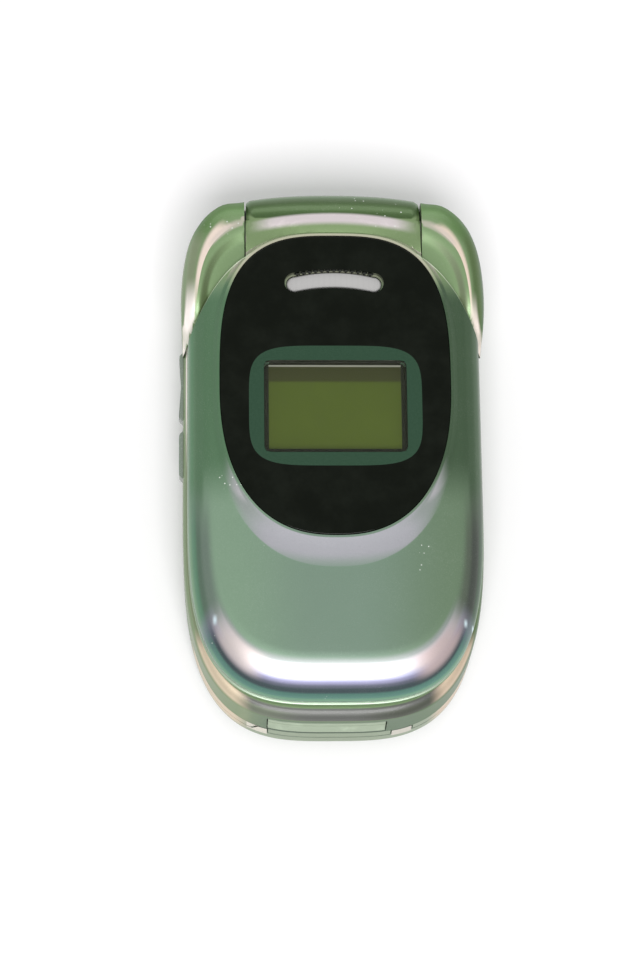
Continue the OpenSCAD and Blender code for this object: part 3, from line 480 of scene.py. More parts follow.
class Graph:
    """Node tree of one material, built by expressions."""

    def __init__(self, name: str) -> None:
        """Starts a material with its shader and output."""
        self.material = bpy.data.materials.new(name)
        self.material.use_nodes = True
        self.tree = self.material.node_tree
        self.shader = next(n for n in self.tree.nodes if n.type == "BSDF_PRINCIPLED")

    def node(self, kind: str, settings: dict[str, object] | None = None,
             inputs: dict[str | int, object] | None = None) -> bpy.types.Node:
        """Adds a node.

        Args:
            kind: its type.
            settings: its properties, set first.
            inputs: values or signals by socket.

        Returns:
            The node.
        """
        node = self.tree.nodes.new(kind)
        for key, value in (settings or {}).items():
            setattr(node, key, value)
        for key, value in (inputs or {}).items():
            self.feed(node.inputs[key], value)
        return node

    def feed(self, socket: bpy.types.NodeSocket, value: object) -> None:
        """Links a signal to a socket or sets its value."""
        if isinstance(value, Signal):
            self.tree.links.new(value.socket, socket)
        elif isinstance(value, tuple) and len(value) == 3 and socket.type == "RGBA":
            socket.default_value = (*value, 1)
        else:
            socket.default_value = value

    def set(self, **sockets: Feed) -> "Graph":
        """Feeds the shader's sockets, with underscores for the blanks in their names."""
        for key, value in sockets.items():
            self.feed(self.shader.inputs[key.replace("_", " ")], value)
        return self

    def place(self) -> Signal:
        """Gives the object coordinates, in metres."""
        return Signal(self, self.node("ShaderNodeTexCoord").outputs["Object"])

    def facing(self) -> tuple[Signal, Signal, Signal]:
        """Gives the parts of the surface's direction in the piece's own frame."""
        return self.split(Signal(self, self.node("ShaderNodeTexCoord").outputs["Normal"]))

    def split(self, vector: Signal) -> tuple[Signal, Signal, Signal]:
        """Gives the parts of a vector."""
        node = self.node("ShaderNodeSeparateXYZ", None, {0: vector})
        return tuple(Signal(self, out) for out in node.outputs)

    def noise(self, size: float, detail: float = 2.0, rough: float = 0.5,
              stretch: Sequence[float] | None = None) -> Signal:
        """Adds noise.

        Args:
            size: size of its features in millimetres.
            detail: octaves.
            rough: strength of the finer octaves.
            stretch: factor along each axis by which features are drawn out.

        Returns:
            The noise from 0 to 1.
        """
        where = self.place()
        if stretch:
            scale = tuple(1 / s for s in stretch)
            drawn = self.node("ShaderNodeMapping", None, {"Vector": where, "Scale": scale})
            where = Signal(self, drawn.outputs[0])
        node = self.node("ShaderNodeTexNoise", None,
                         {"Vector": where, "Scale": 1 / (size * MM), "Detail": detail, "Roughness": rough})
        return Signal(self, node.outputs[0])

    def cells(self, size: float, feature: str = "F1") -> Signal:
        """Adds a Voronoi pattern.

        Args:
            size: size of its cells in millimetres.
            feature: F1 or DISTANCE_TO_EDGE.

        Returns:
            The distance in cells.
        """
        node = self.node("ShaderNodeTexVoronoi", {"feature": feature},
                         {"Vector": self.place(), "Scale": 1 / (size * MM)})
        return Signal(self, node.outputs["Distance"])

    def mix(self, base: Feed, over: Feed, share: Feed) -> Signal:
        """Lays one colour over another by a share from 0 to 1."""
        node = self.node("ShaderNodeMix", {"data_type": "RGBA"}, {0: share, 6: base, 7: over})
        return Signal(self, node.outputs[2])

    def bump(self, height: Signal, depth: float, strength: float = 1.0) -> Signal:
        """Turns a height from 0 to 1 into a normal.

        Args:
            height: the relief.
            depth: what a height of 1 stands for, in millimetres.
            strength: how much of it shows.

        Returns:
            The normal.
        """
        node = self.node("ShaderNodeBump", None,
                         {"Height": height, "Distance": depth * MM, "Strength": strength})
        return Signal(self, node.outputs[0])


# ---------- Finishes ----------


# The ridge round the ears and the lens's rim, by which some painted highlights and painted shade are placed
EAR_RIDGE = Outline(24.65, 48.8, 48.8, curve_high=9.0, y=-5.0, curve_side=3.1)
LENS_RIM = Outline(18.3, 24.2, 24.2, curve_high=3.0, y=11.0, curve_side=3.0)
BOW_REACH = 14.0

# Values that keep a division by nothing away
LEAST_TILT = 0.0001
LEAST_REACH = 1e-9

PALE_FLAKE = (1.0, 1.0, 0.98)
DARK_FLAKE = (0.02, 0.04, 0.03)
PRIMER = srgb(206, 212, 204)
FULL_TURN = 2 * math.pi


class Finish:
    """A finish whose material is made once."""

    made: dict["Finish", bpy.types.Material] = {}

    def material(self) -> bpy.types.Material:
        """Gives the finish's material."""
        if self not in Finish.made:
            Finish.made[self] = self.mixed().material
        return Finish.made[self]

    def mixed(self) -> Graph:
        """Builds the material's graph."""
        raise NotImplementedError


class Way(Enum):
    """How a band of tone measures the way that a surface faces."""

    TILT = "tilt"
    OUT = "out"


@dataclass(frozen=True)
class Band:
    """Painted tone that a paint takes where its surface turns a certain way, and where on the phone it does
    so: most bands are painted reflections, highlights or shade.

    Attributes:
        colour: the painted tone.
        rise: turns between which it comes in.
        fall: turns between which it goes out again.
        toward: the side that the surface turns to, or none for every side.
        gate: how nearly it has to turn that way, from none of the tone to all of it.
        along: places along the phone from none of the tone to all of it, in millimetres, in pairs.
        across: the same across the phone.
        up: the same above the floor.
        rim: the same by the ridge round the ears, which lies at 1.
        corner: the same by the distance outside the parting line beside the lens, in millimetres.
        halo: the same by the lens's rim, which lies at 1.
        bow: how far the limits along the phone bend back beside the middle, in millimetres.
        way: how the turn is measured.
        share: how much of the tone shows at most.
    """

    colour: Colour
    rise: tuple[float, float]
    fall: tuple[float, float] = (2.0, 3.0)
    toward: tuple[float, float] = (0.0, 0.0)
    gate: tuple[float, float] = (0.0, 0.0)
    along: tuple[float, ...] = ()
    across: tuple[float, ...] = ()
    up: tuple[float, ...] = ()
    rim: tuple[float, ...] = ()
    corner: tuple[float, ...] = ()
    halo: tuple[float, ...] = ()
    bow: float = 0.0
    way: Way = Way.TILT
    share: float = 1.0


@dataclass(frozen=True)
class MetallicPaintWithPaintedLight(Finish):
    """Flake paint under a thin clear coat, with painted reflections, highlights and shade laid into its tone
    by the way that the surface faces and by place.
    """

    name: str
    face: Colour
    bands: tuple[Band, ...] = ()
    rough: float = 0.36
    metal: float = 0.62
    worn: float = 1.0
    middle: float = 24.0

    @staticmethod
    def level(px: Signal, py: Signal, edge: Outline) -> Signal:
        """Tells how far out a place lies in the upper half of an outline.

        Args:
            px: place across the phone, in metres.
            py: place along the phone, in metres.
            edge: the outline.

        Returns:
            The level, which is 1 on the outline itself.
        """
        onward = (py - edge.y * MM).most(0.0) / (edge.high * MM)
        return (abs(px) / (edge.half * MM)) ** edge.curve_side + onward ** edge.curve_high

    def share(self, g: Graph, band: Band) -> Signal:
        """Tells how much of a band's tone each place takes.

        Args:
            g: the paint's graph.
            band: the band.

        Returns:
            Its share from 0 to 1.
        """
        x, y, z = g.facing()
        px, py, pz = g.split(g.place())
        tilt = (1 - z * z).most(LEAST_TILT) ** 0.5
        if band.way is Way.OUT:
            far = (py - self.middle * MM).most(0.0)
            reach = (px * px + far * far + LEAST_REACH) ** 0.5
            turn = (x * px + y * far) / reach
        else:
            turn = tilt
        share = turn.ramp(*band.rise) * turn.ramp(band.fall[1], band.fall[0]) * band.share
        if band.toward != (0.0, 0.0):
            share = share * ((x * band.toward[0] + y * band.toward[1]) / tilt).ramp(*band.gate)
        rim = corner = halo = px
        if band.rim:
            rim = self.level(px, py, EAR_RIDGE)
        if band.corner:
            flare = ((abs(px) - PLAN.ear_x * MM) / (PLAN.ear_reach * MM)).most(0.0) ** PLAN.ear_power
            reach = ((py - PLAN.hinge_y * MM) ** 2.0 + (pz - PLAN.hinge_z * MM) ** 2.0) ** 0.5
            corner = reach - (flare * PLAN.ear_flare + PLAN.ear_r + PLAN.turn_gap) * MM
        if band.halo:
            halo = self.level(px, py, LENS_RIM)
        if band.bow:
            py = py + (px / (BOW_REACH * MM)) ** 2.0 * (band.bow * MM)
        for place, limits, unit in ((py, band.along, MM), (px, band.across, MM), (pz, band.up, MM),
                                    (rim, band.rim, 1.0), (corner, band.corner, MM), (halo, band.halo, 1.0)):
            for start, end in zip(limits[::2], limits[1::2]):
                share = share * place.ramp(start * unit, end * unit)
        return share

    def mixed(self) -> Graph:
        """Builds the paint: painted reflections, highlights and shade by direction and place, flakes, faint
        scuffs and chips.
        """
        g = Graph(self.name)
        tone = self.face
        # Each band lays its tone over the face tone; most bands are painted reflections, highlights or shade
        for band in self.bands:
            tone = g.mix(tone, band.colour, self.share(g, band))
        flake = g.noise(0.16, detail=1.0, rough=0.6)
        cloud = g.noise(5.0, detail=3.0, rough=0.55)
        shade = (flake - 0.5) * 0.5 + (cloud - 0.5) * 0.16
        tone = g.mix(tone, PALE_FLAKE, shade.ramp(0.0, 0.6) * 0.3)
        tone = g.mix(tone, DARK_FLAKE, (0 - shade).ramp(0.0, 0.6) * 0.4)
        scuff = g.noise(3.2, detail=6.0, rough=0.75, stretch=(1, 4, 1)).ramp(0.66, 0.74)
        chip = (g.cells(0.9).ramp(0.16, 0.1) * g.noise(9.0, detail=1.0).ramp(0.66, 0.7)) * self.worn
        tone = g.mix(tone, PRIMER, chip * 0.85)
        rough = self.rough + (flake - 0.5) * 0.1 + scuff * 0.12 * self.worn
        g.set(Base_Color=tone, Roughness=rough, Metallic=self.metal * (1 - chip),
              Coat_Weight=0.25 - scuff * 0.12, Normal=g.bump(flake, 0.004, strength=0.6))
        return g.set(Coat_Roughness=0.16)


@dataclass(frozen=True)
class Moulded(Finish):
    """Plain moulded plastic with a fine grain and a little handling shine."""

    name: str
    colour: Colour
    rough: float = 0.5
    grain: float = 0.25
    depth: float = 0.012

    def mixed(self) -> Graph:
        """Builds the plastic."""
        g = Graph(self.name)
        grain = g.noise(self.grain, detail=3.0, rough=0.6)
        cloud = g.noise(6.0, detail=2.0)
        dark = tuple(c * 0.82 for c in self.colour)
        g.set(Base_Color=g.mix(self.colour, dark, cloud.ramp(0.35, 0.75)),
              Roughness=self.rough + (cloud - 0.5) * 0.12 + (grain - 0.5) * 0.08,
              Normal=g.bump(grain, self.depth))
        return g


@dataclass(frozen=True)
class KeyPaint(Finish):
    """Satin key colour under a hard coat, unevenly polished by fingers, with its sides painted darker as
    shade.
    """

    name: str
    colour: Colour
    metal: float = 0.35

    def mixed(self) -> Graph:
        """Builds the key's finish, with painted shade on its sides."""
        g = Graph(self.name)
        z = g.facing()[2]
        flake = g.noise(0.12, detail=1.0)
        smear = g.noise(2.5, detail=3.0, rough=0.6)
        # Painted shade: the key's sides turn darker than its top
        deep = tuple(c * 0.55 for c in self.colour)
        tone = g.mix(deep, self.colour, z.ramp(0.2, 0.9))
        tone = g.mix(tone, (1, 1, 1), (flake - 0.5).ramp(0.0, 0.4) * 0.25)
        return g.set(Base_Color=tone, Roughness=0.3 + (smear - 0.5) * 0.16, Metallic=self.metal,
                     Normal=g.bump(flake, 0.003)).set(Coat_Weight=0.4, Coat_Roughness=0.12)


@dataclass(frozen=True)
class Print(Finish):
    """Opaque ink of a legend or a printed frame."""

    name: str
    colour: Colour
    rough: float = 0.42

    def mixed(self) -> Graph:
        """Builds the ink, a little uneven at its edges."""
        g = Graph(self.name)
        speck = g.noise(0.2, detail=2.0)
        thin = tuple(min(1.0, c * 1.12 + 0.004) for c in self.colour)
        g.set(Base_Color=g.mix(self.colour, thin, speck.ramp(0.3, 0.7)),
              Roughness=self.rough + (speck - 0.5) * 0.08)
        return g.set(Specular_IOR_Level=0.12)


@dataclass(frozen=True)
class Glaze(Finish):
    """Polished lens with print behind it, faint finger smears and hair scratches."""

    name: str
    colour: Colour
    gloss: float = 0.5
    rough: float = 0.07

    def mixed(self) -> Graph:
        """Builds the lens."""
        g = Graph(self.name)
        smear = g.noise(6.0, detail=4.0, rough=0.65)
        hair = g.noise(0.5, detail=2.0, rough=0.5, stretch=(1, 30, 1)).ramp(0.73, 0.8)
        rise = tuple(min(1.0, c * 1.5 + 0.002) for c in self.colour)
        g.set(Base_Color=g.mix(self.colour, rise, smear.ramp(0.35, 0.75)),
              Roughness=self.rough + smear.ramp(0.4, 0.8) * 0.06 + hair * 0.1)
        return g.set(Specular_IOR_Level=self.gloss)


@dataclass(frozen=True)
class ClearPane(Finish):
    """Clear part of a lens: a thin sheen over what lies behind it."""

    name: str
    cover: float = 0.1

    def mixed(self) -> Graph:
        """Builds the pane, a little less clear where it was touched."""
        g = Graph(self.name)
        smear = g.noise(5.0, detail=4.0, rough=0.65)
        g.material.blend_method = "BLEND"
        return g.set(Base_Color=srgb(60, 66, 48), Roughness=0.06 + smear.ramp(0.4, 0.8) * 0.06,
                     Alpha=self.cover + smear.ramp(0.5, 0.9) * 0.04)


@dataclass(frozen=True)
class Metal(Finish):
    """Bare metal with fine tool marks along one axis."""

    name: str
    colour: Colour
    rough: float = 0.32
    along: tuple[float, float, float] = (12.0, 1.0, 1.0)

    def mixed(self) -> Graph:
        """Builds the metal."""
        g = Graph(self.name)
        mark = g.noise(0.18, detail=2.0, rough=0.6, stretch=self.along)
        stain = g.noise(4.0, detail=3.0)
        dull = tuple(c * 0.72 for c in self.colour)
        return g.set(Base_Color=g.mix(self.colour, dull, stain.ramp(0.4, 0.8)), Metallic=1.0,
                     Roughness=self.rough + (mark - 0.5) * 0.2, Normal=g.bump(mark, 0.004))


@dataclass(frozen=True)
class Rubber(Finish):
    """Matt rubber or soft cover, a little paler where it is rubbed."""

    name: str
    colour: Colour
    rough: float = 0.72

    def mixed(self) -> Graph:
        """Builds the rubber."""
        g = Graph(self.name)
        grain = g.noise(0.14, detail=3.0, rough=0.7)
        rubbed = g.noise(2.6, detail=3.0).ramp(0.5, 0.8)
        pale = tuple(min(1.0, c * 1.25 + 0.01) for c in self.colour)
        return g.set(Base_Color=g.mix(self.colour, pale, rubbed), Roughness=self.rough - rubbed * 0.12,
                     Normal=g.bump(grain, 0.01))


@dataclass(frozen=True)
class Frosted(Finish):
    """Frosted light guide with a ribbed underside."""

    name: str
    colour: Colour
    pitch: float = 0.9

    def mixed(self) -> Graph:
        """Builds the light guide."""
        g = Graph(self.name)
        x = g.split(g.place())[0]
        rib = (x * (FULL_TURN / (self.pitch * MM))).wave()
        deep = tuple(c * 0.78 for c in self.colour)
        return g.set(Base_Color=g.mix(self.colour, deep, rib.ramp(0.2, 1.0) * 0.12),
                     Roughness=0.45 + rib * 0.04, Normal=g.bump(g.noise(0.2, detail=2.0), 0.01))


@dataclass(frozen=True)
class LiquidCrystal(Finish):
    """Display glass: polariser tint, faint pixel grid, a painted shadow under its upper edge, and where a
    border is given, a painted highlight line under that edge and a dark rim painted as shadow.

    Attributes:
        name: name of the material.
        colour: the display's own tone.
        shade: tone of the painted shadow strip under the upper edge.
        pitch: distance between two lines of the grid, in millimetres.
        top: place of the upper edge along the phone, in millimetres.
        depth: width of the painted shadow strip, in millimetres.
        rough: roughness of the glass.
        border: half width, lower and upper edge of what the painted dark rim leaves free, which also places
            the painted highlight line, or zeros for neither.
    """

    name: str
    colour: Colour
    shade: Colour
    pitch: float = 0.28
    top: float = 0.0
    depth: float = 2.0
    rough: float = 0.3
    border: tuple[float, float, float] = (0.0, 0.0, 0.0)

    def mixed(self) -> Graph:
        """Builds the display."""
        g = Graph(self.name)
        x, y, _ = g.split(g.place())
        pace = FULL_TURN / (self.pitch * MM)
        line = (x * pace).wave().most((y * pace).wave())
        cloud = g.noise(7.0, detail=2.0)
        tone = g.mix(self.colour, tuple(c * 0.8 for c in self.colour), line.ramp(0.6, 1.0) * 0.35)
        tone = g.mix(tone, tuple(c * 1.2 for c in self.colour), cloud.ramp(0.4, 0.8) * 0.4)
        # Painted shadow under the upper edge
        start, end = self.top - self.depth, self.top - self.depth * 0.8
        tone = g.mix(tone, self.shade, y.ramp(start * MM, end * MM))
        half, low, high = self.border
        if half:
            # Painted highlight line under the upper edge, then a dark rim painted as the shadow of the
            # window's edge
            tone = g.mix(tone, srgb(196, 198, 184), y.ramp((high - 0.3) * MM, (high - 0.1) * MM) * 0.8)
            edge = abs(x).ramp((half - 0.15) * MM, half * MM).most(y.ramp(high * MM, (high + 0.12) * MM))
            tone = g.mix(tone, srgb(20, 24, 14), edge.most(y.ramp((low + 0.15) * MM, low * MM)))
        return g.set(Base_Color=tone, Roughness=self.rough + (cloud - 0.5) * 0.08).set(Specular_IOR_Level=0.3)


@dataclass(frozen=True)
class BoardMask(Finish):
    """Green solder mask over traces and rows of small gold pads."""

    name: str

    def mixed(self) -> Graph:
        """Builds the board."""
        g = Graph(self.name)
        trace = g.cells(1.1, "DISTANCE_TO_EDGE").ramp(0.05, 0.02)
        pad = g.cells(1.7).ramp(0.2, 0.16)
        cloud = g.noise(3.0, detail=3.0)
        tone = g.mix(srgb(18, 92, 60), srgb(34, 128, 84), trace)
        tone = g.mix(tone, srgb(205, 168, 92), pad)
        return g.set(Base_Color=g.mix(tone, srgb(14, 70, 46), cloud.ramp(0.5, 0.8) * 0.4), Metallic=pad * 0.8,
                     Roughness=0.38 + (cloud - 0.5) * 0.1, Normal=g.bump(trace.most(pad), 0.03))


# Sides that a surface turns to, the rise that every place passes, and places along the phone
FRONT, BACK, LEFT, RIGHT = (0.0, -1.0), (0.0, 1.0), (-1.0, 0.0), (1.0, 0.0)
ALWAYS = (-1.0, -0.9)
WIDE = (0.25, 0.6)
BEFORE_BARREL = (30.0, 26.0)
BY_LENS = (-16.0, -4.0, *BEFORE_BARREL)
BELOW_LENS = (-4.0, -16.0)
# Pale blue-white tone of the small painted highlight spots on the lid's lower corners
GLINT_TONE = srgb(214, 234, 240)


def run(way: tuple[float, float], along: tuple[float, ...],
        *stops: tuple[float, float, Colour]) -> tuple[Band, ...]:
    """Gives painted reflection, highlight and shade bands that follow each other as the surface turns down
    toward one side.

    Args:
        way: the side.
        along: where along the phone they show.
        stops: start and end of each rise and its colour.

    Returns:
        The bands.
    """
    return tuple(Band(colour, (start, end), toward=way, gate=WIDE, along=along)
                 for start, end, colour in stops)


def glint_spot(x: float, y: float, width: float, length: float) -> Band:
    """Gives a small painted highlight spot.

    Args:
        x: its middle across the phone, in millimetres.
        y: its middle along the phone.
        width: half of its width.
        length: half of its length.

    Returns:
        The band.
    """
    return Band(GLINT_TONE, ALWAYS, along=(y - length, y, y + length, y), across=(x - width, x, x + width, x))


# Paints and moulded parts, each shared by the pieces that wear it; the metallic paints also carry painted
# reflections, highlights and shade
FACE_PAINT_AND_PAINTED_LIGHT = MetallicPaintWithPaintedLight("lid_paint_and_painted_light", srgb(121, 145, 127), (
    # painted light and shade: the lid's face darker toward the right side and lighter toward the left
    Band(srgb(106, 130, 103), ALWAYS, across=(3.0, 19.0)),
    Band(srgb(128, 156, 131), ALWAYS, across=(-3.0, -17.0)),
    # painted reflection: yellow-green on the lid's upper end, darker green beside the lens, darkest on the
    # right
    Band(srgb(126, 150, 104), ALWAYS, along=(22.0, 31.0)),
    Band(srgb(84, 119, 87), ALWAYS, across=(-13.5, -17.5), along=(-10.0, -1.0, 29.0, 24.0)),
    Band(srgb(64, 88, 62), ALWAYS, across=(13.5, 17.5), along=(-10.0, -1.0, 29.0, 24.0)),
    # painted reflection and shade where the lid's sides turn down beside the lens
    *run(LEFT, BY_LENS, (0.35, 0.5, srgb(87, 121, 90)), (0.7, 0.85, srgb(72, 117, 80))),
    *run(RIGHT, BY_LENS, (0.35, 0.5, srgb(70, 94, 68)), (0.7, 0.85, srgb(58, 88, 56))),
    # painted highlight on the slope at the lens rim's upper end
    Band(srgb(170, 168, 152), (0.2, 0.4), along=(27.0, 31.0, 36.0, 35.5)),
    # painted reflection and shade: grey and green bands where the lid's sides turn down below the lens,
    # darker on the right
    *run(LEFT, BELOW_LENS, (0.1, 0.36, srgb(109, 127, 114)), (0.45, 0.6, srgb(91, 114, 97)),
         (0.62, 0.75, srgb(85, 127, 100)), (0.8, 0.92, srgb(98, 138, 103))),
    *run(RIGHT, BELOW_LENS, (0.16, 0.4, srgb(89, 101, 86)), (0.4, 0.56, srgb(72, 79, 72)),
         (0.7, 0.82, srgb(65, 88, 68)), (0.88, 0.97, srgb(68, 109, 64))),
    # painted reflection: lilac-grey crescent on the slope below the lens
    Band(srgb(163, 164, 169), (0.035, 0.09), toward=FRONT, gate=(0.3, 0.8), along=(12.0, 0.0, -25.0, -22.0)),
    # painted highlight and shade on the lid's rolled bottom edge: pale lilac-white, then dark lilac, then
    # teal
    *run(FRONT, BEFORE_BARREL, (0.13, 0.21, srgb(142, 150, 146)), (0.21, 0.27, srgb(180, 178, 182)),
         (0.37, 0.44, srgb(150, 152, 176)), (0.43, 0.48, srgb(122, 122, 148)),
         (0.48, 0.54, srgb(88, 92, 106)), (0.54, 0.6, srgb(62, 76, 80)),
         (0.64, 0.72, srgb(84, 126, 114)), (0.8, 0.9, srgb(100, 143, 116))),
    # painted highlights: pinkish tones on the roll's lower corners
    Band(srgb(196, 186, 182), (0.16, 0.26), (0.46, 0.62), (-0.8, -0.6), (0.8, 0.95),
         along=(-25.5, -31.0), share=0.9),
    Band(srgb(188, 170, 168), (0.2, 0.3), (0.5, 0.66), (0.8, -0.6), (0.8, 0.95),
         along=(-25.5, -31.0), share=0.9),
    # painted highlights: small bright spots on the roll's corners
    glint_spot(-19.1, -27.0, 0.5, 1.1), glint_spot(19.9, -27.6, 0.45, 0.9), glint_spot(21.2, -28.2, 0.3, 0.7),
    # painted reflection and shade: dark greens where the barrel turns away toward its back
    *run(BACK, (35.5, 36.5), (-0.1, 0.02, srgb(96, 120, 76)), (0.04, 0.14, srgb(66, 92, 48)),
         (0.6, 0.85, srgb(58, 98, 38))),
    # painted highlight: thin bright line along the lid's parting edge beside the ears
    Band(srgb(204, 216, 188), ALWAYS, corner=(-0.35, -0.1, 0.45, 0.25)),
    # painted highlight round the upper end of the lens rim
    Band(srgb(190, 190, 166), ALWAYS, along=(26.0, 31.0), halo=(1.085, 1.05)),
    # painted highlight: pale arched band along the top of the barrel
    Band(srgb(218, 209, 210), ALWAYS, along=(37.0, 38.0, 39.4, 38.8),
         across=(-14.2, -9.0, 14.2, 9.0), bow=1.4)))
BASE_PAINT_AND_PAINTED_LIGHT = MetallicPaintWithPaintedLight("base_paint_and_painted_light", srgb(120, 146, 103), (
    # painted reflection and shade: greens where the sides and hinge end turn down, lighter on the left,
    # darker on the right
    *run(LEFT, (), (0.2, 0.5, srgb(128, 142, 110)), (0.75, 0.95, srgb(108, 140, 92))),
    *run(RIGHT, (), (0.2, 0.5, srgb(84, 108, 62)), (0.75, 0.95, srgb(66, 104, 52))),
    *run(BACK, (), (0.1, 0.4, srgb(88, 122, 68)), (0.6, 0.9, srgb(66, 108, 50))),
    # painted highlights: pinkish-white bands along the crest of the ears' ridge
    Band(srgb(255, 246, 240), (0.1, 0.24), (0.66, 0.84), (-1.0, -0.25), (0.3, 0.7),
         along=(-4.0, 12.0, 29.0, 23.0), across=(0.5, -1.5), rim=(0.6, 0.68), way=Way.OUT),
    Band(srgb(232, 216, 202), (-0.08, 0.01), (0.16, 0.32), (-1.0, -0.25), (0.3, 0.7),
         along=(23.0, 29.0), across=(0.5, -1.5), rim=(0.5, 0.58), way=Way.OUT),
    Band(srgb(250, 236, 226), (-0.04, 0.06), (0.4, 0.6), (1.0, -0.25), (0.3, 0.7),
         along=(0.0, 12.0, 27.0, 21.0), across=(-0.5, 1.5), rim=(0.6, 0.68), way=Way.OUT),
    Band(srgb(228, 210, 192), (-0.12, -0.03), (0.1, 0.24), (1.0, -0.25), (0.3, 0.7),
         along=(21.0, 27.0), across=(-0.5, 1.5), rim=(0.5, 0.58), way=Way.OUT),
    Band(srgb(204, 194, 184), (-0.1, -0.02), (0.05, 0.14), along=(33.0, 35.0), rim=(0.4, 0.48),
         way=Way.OUT, share=0.6),
    # painted shade: dark line in the valley inside the ears' ridge
    Band(srgb(104, 116, 86), (-0.2, -0.45), along=(6.0, 14.0), rim=(0.4, 0.48), way=Way.OUT, share=0.4),
    # grey tone of the lower rim, with painted light on its left, painted shade on its right
    Band(srgb(95, 97, 93), (0.03, 0.16), (0.86, 0.95), along=(-27.0, -33.0)),
    Band(srgb(108, 116, 100), (0.03, 0.16), (0.86, 0.95), along=(-27.0, -33.0), across=(-4.0, -12.0)),
    Band(srgb(76, 80, 70), (0.03, 0.16), (0.86, 0.95), along=(-27.0, -33.0), across=(2.0, 10.0)),
    # painted shade that damps the coat's highlight on the lower rim
    Band(srgb(72, 74, 70), (0.1, 0.22), (0.36, 0.5), FRONT, WIDE, (-27.0, -33.0)),
    # painted reflection: dark green on the walls that face the bottom end
    *run(FRONT, (), (0.9, 0.96, srgb(88, 110, 84))),
    # painted highlights: pinkish beige on the rim's lower corners
    Band(srgb(206, 190, 164), (0.03, 0.16), along=(-26.5, -30.5), across=(-13.0, -16.5)),
    Band(srgb(204, 184, 160), (0.03, 0.16), along=(-27.0, -31.0), across=(14.5, 17.5)),
    # painted light and shade: steep side walls paler on the left, darker on the right
    Band(srgb(112, 132, 92), (0.8, 0.97), toward=(-1.0, -0.4), gate=(0.6, 0.9)),
    Band(srgb(76, 104, 66), (0.8, 0.97), toward=(1.0, -0.4), gate=(0.6, 0.9))), rough=0.44, metal=0.5)
BACK_PAINT_AND_PAINTED_LIGHT = MetallicPaintWithPaintedLight("back_paint_and_painted_light", srgb(108, 122, 108), (
    # painted reflection: greener where the surface tilts
    Band(srgb(104, 130, 90), (0.3, 0.8)),
    # painted light: paler on the end wall that faces the bottom end
    Band(srgb(138, 152, 128), (0.6, 0.95), toward=FRONT, gate=WIDE),
    # painted highlights: pinkish beige at the lower corners, carried down the battery pack
    Band(srgb(206, 190, 164), ALWAYS, along=(-26.5, -30.5), across=(-13.0, -16.5), up=(2.4, 4.2)),
    Band(srgb(204, 184, 160), ALWAYS, along=(-27.0, -31.0), across=(14.5, 17.5), up=(2.4, 4.2)),
    Band(srgb(206, 202, 188), (0.8, 0.9), toward=FRONT, gate=WIDE,
         across=(-14.1, -13.95, -10.7, -10.85), up=(4.1, 4.25)),
    Band(srgb(196, 192, 180), (0.8, 0.9), toward=FRONT, gate=WIDE,
         across=(9.0, 9.15, 12.4, 12.25), up=(4.1, 4.25))),
    rough=0.42, metal=0.45, worn=1.4)
INNER_PAINT_AND_PAINTED_LIGHT = MetallicPaintWithPaintedLight("inner_paint_and_painted_light", srgb(150, 166, 146), (
    # painted reflection: greener where the surface tilts
    Band(srgb(122, 150, 112), (0.3, 0.9)),), rough=0.38, metal=0.5, worn=0.5)
LENS_GLAZE = Glaze("lens_glaze", srgb(9, 13, 7), gloss=0.1)
MAIN_GLAZE = Glaze("main_glaze", srgb(16, 18, 20), gloss=0.4)
CLEAR_PANE = ClearPane("clear_pane")
FRAME_PRINT = Print("frame_print", srgb(38, 64, 47), rough=0.5)
WELL_BLACK = Moulded("well_black", srgb(34, 38, 32), rough=0.6, grain=0.3)
CASE_BLACK = Moulded("case_black", srgb(38, 39, 42), rough=0.55)
BAR_FROST = Frosted("bar_frost", srgb(168, 168, 166))
# Each display's second tone is its painted shadow under the upper edge
OUTER_CRYSTAL = LiquidCrystal("outer_crystal", srgb(80, 97, 30), srgb(60, 64, 30), pitch=0.3, top=14.7,
                              depth=3.6, rough=0.3, border=(10.6, 0.4, 14.15))
MAIN_CRYSTAL = LiquidCrystal("main_crystal", srgb(44, 48, 56), srgb(30, 33, 38), pitch=0.12, top=18.0,
                             depth=0.5, rough=0.16)
KEY_SILVER = KeyPaint("key_silver_paint", srgb(196, 204, 196))
KEY_GREEN = KeyPaint("key_green_paint", srgb(86, 152, 96), metal=0.1)
KEY_RED = KeyPaint("key_red_paint", srgb(176, 84, 76), metal=0.1)
RING_PAINT = KeyPaint("ring_paint", srgb(176, 186, 178), metal=0.5)
SIDE_PAINT = KeyPaint("side_key_paint", srgb(132, 146, 132), metal=0.3)
LEGEND_DARK = Print("legend_dark", srgb(34, 44, 40))
LEGEND_PALE = Print("legend_pale", srgb(226, 230, 224))
COVER_RUBBER = Rubber("cover_rubber", srgb(150, 164, 142))
JACK_RUBBER = Rubber("jack_rubber", srgb(112, 124, 110))
PAD_RUBBER = Rubber("pad_rubber", srgb(62, 64, 62))
MAT_RUBBER = Rubber("mat_rubber", srgb(206, 210, 202), rough=0.5)
STEEL = Metal("turned_steel", (0.56, 0.57, 0.59))
TIN = Metal("tinned_sheet", (0.62, 0.63, 0.65), rough=0.28, along=(1.0, 10.0, 1.0))
GOLD = Metal("gold_plate", (0.80, 0.58, 0.26), rough=0.24)
MAGNET = Metal("magnet_plate", (0.36, 0.36, 0.38), rough=0.4)
CELL_WRAP = Metal("cell_wrap", (0.42, 0.45, 0.50), rough=0.36, along=(1.0, 14.0, 1.0))
BOARD = BoardMask("board_mask")
FILM = Moulded("polyester_film", srgb(214, 212, 202), rough=0.32, grain=0.5)
FLEX = Moulded("flex_film", srgb(196, 126, 58), rough=0.3, grain=0.5)
CREAM = Moulded("carrier_cream", srgb(214, 206, 182), rough=0.55)


# ---------- Sizes that the sub-assemblies share ----------


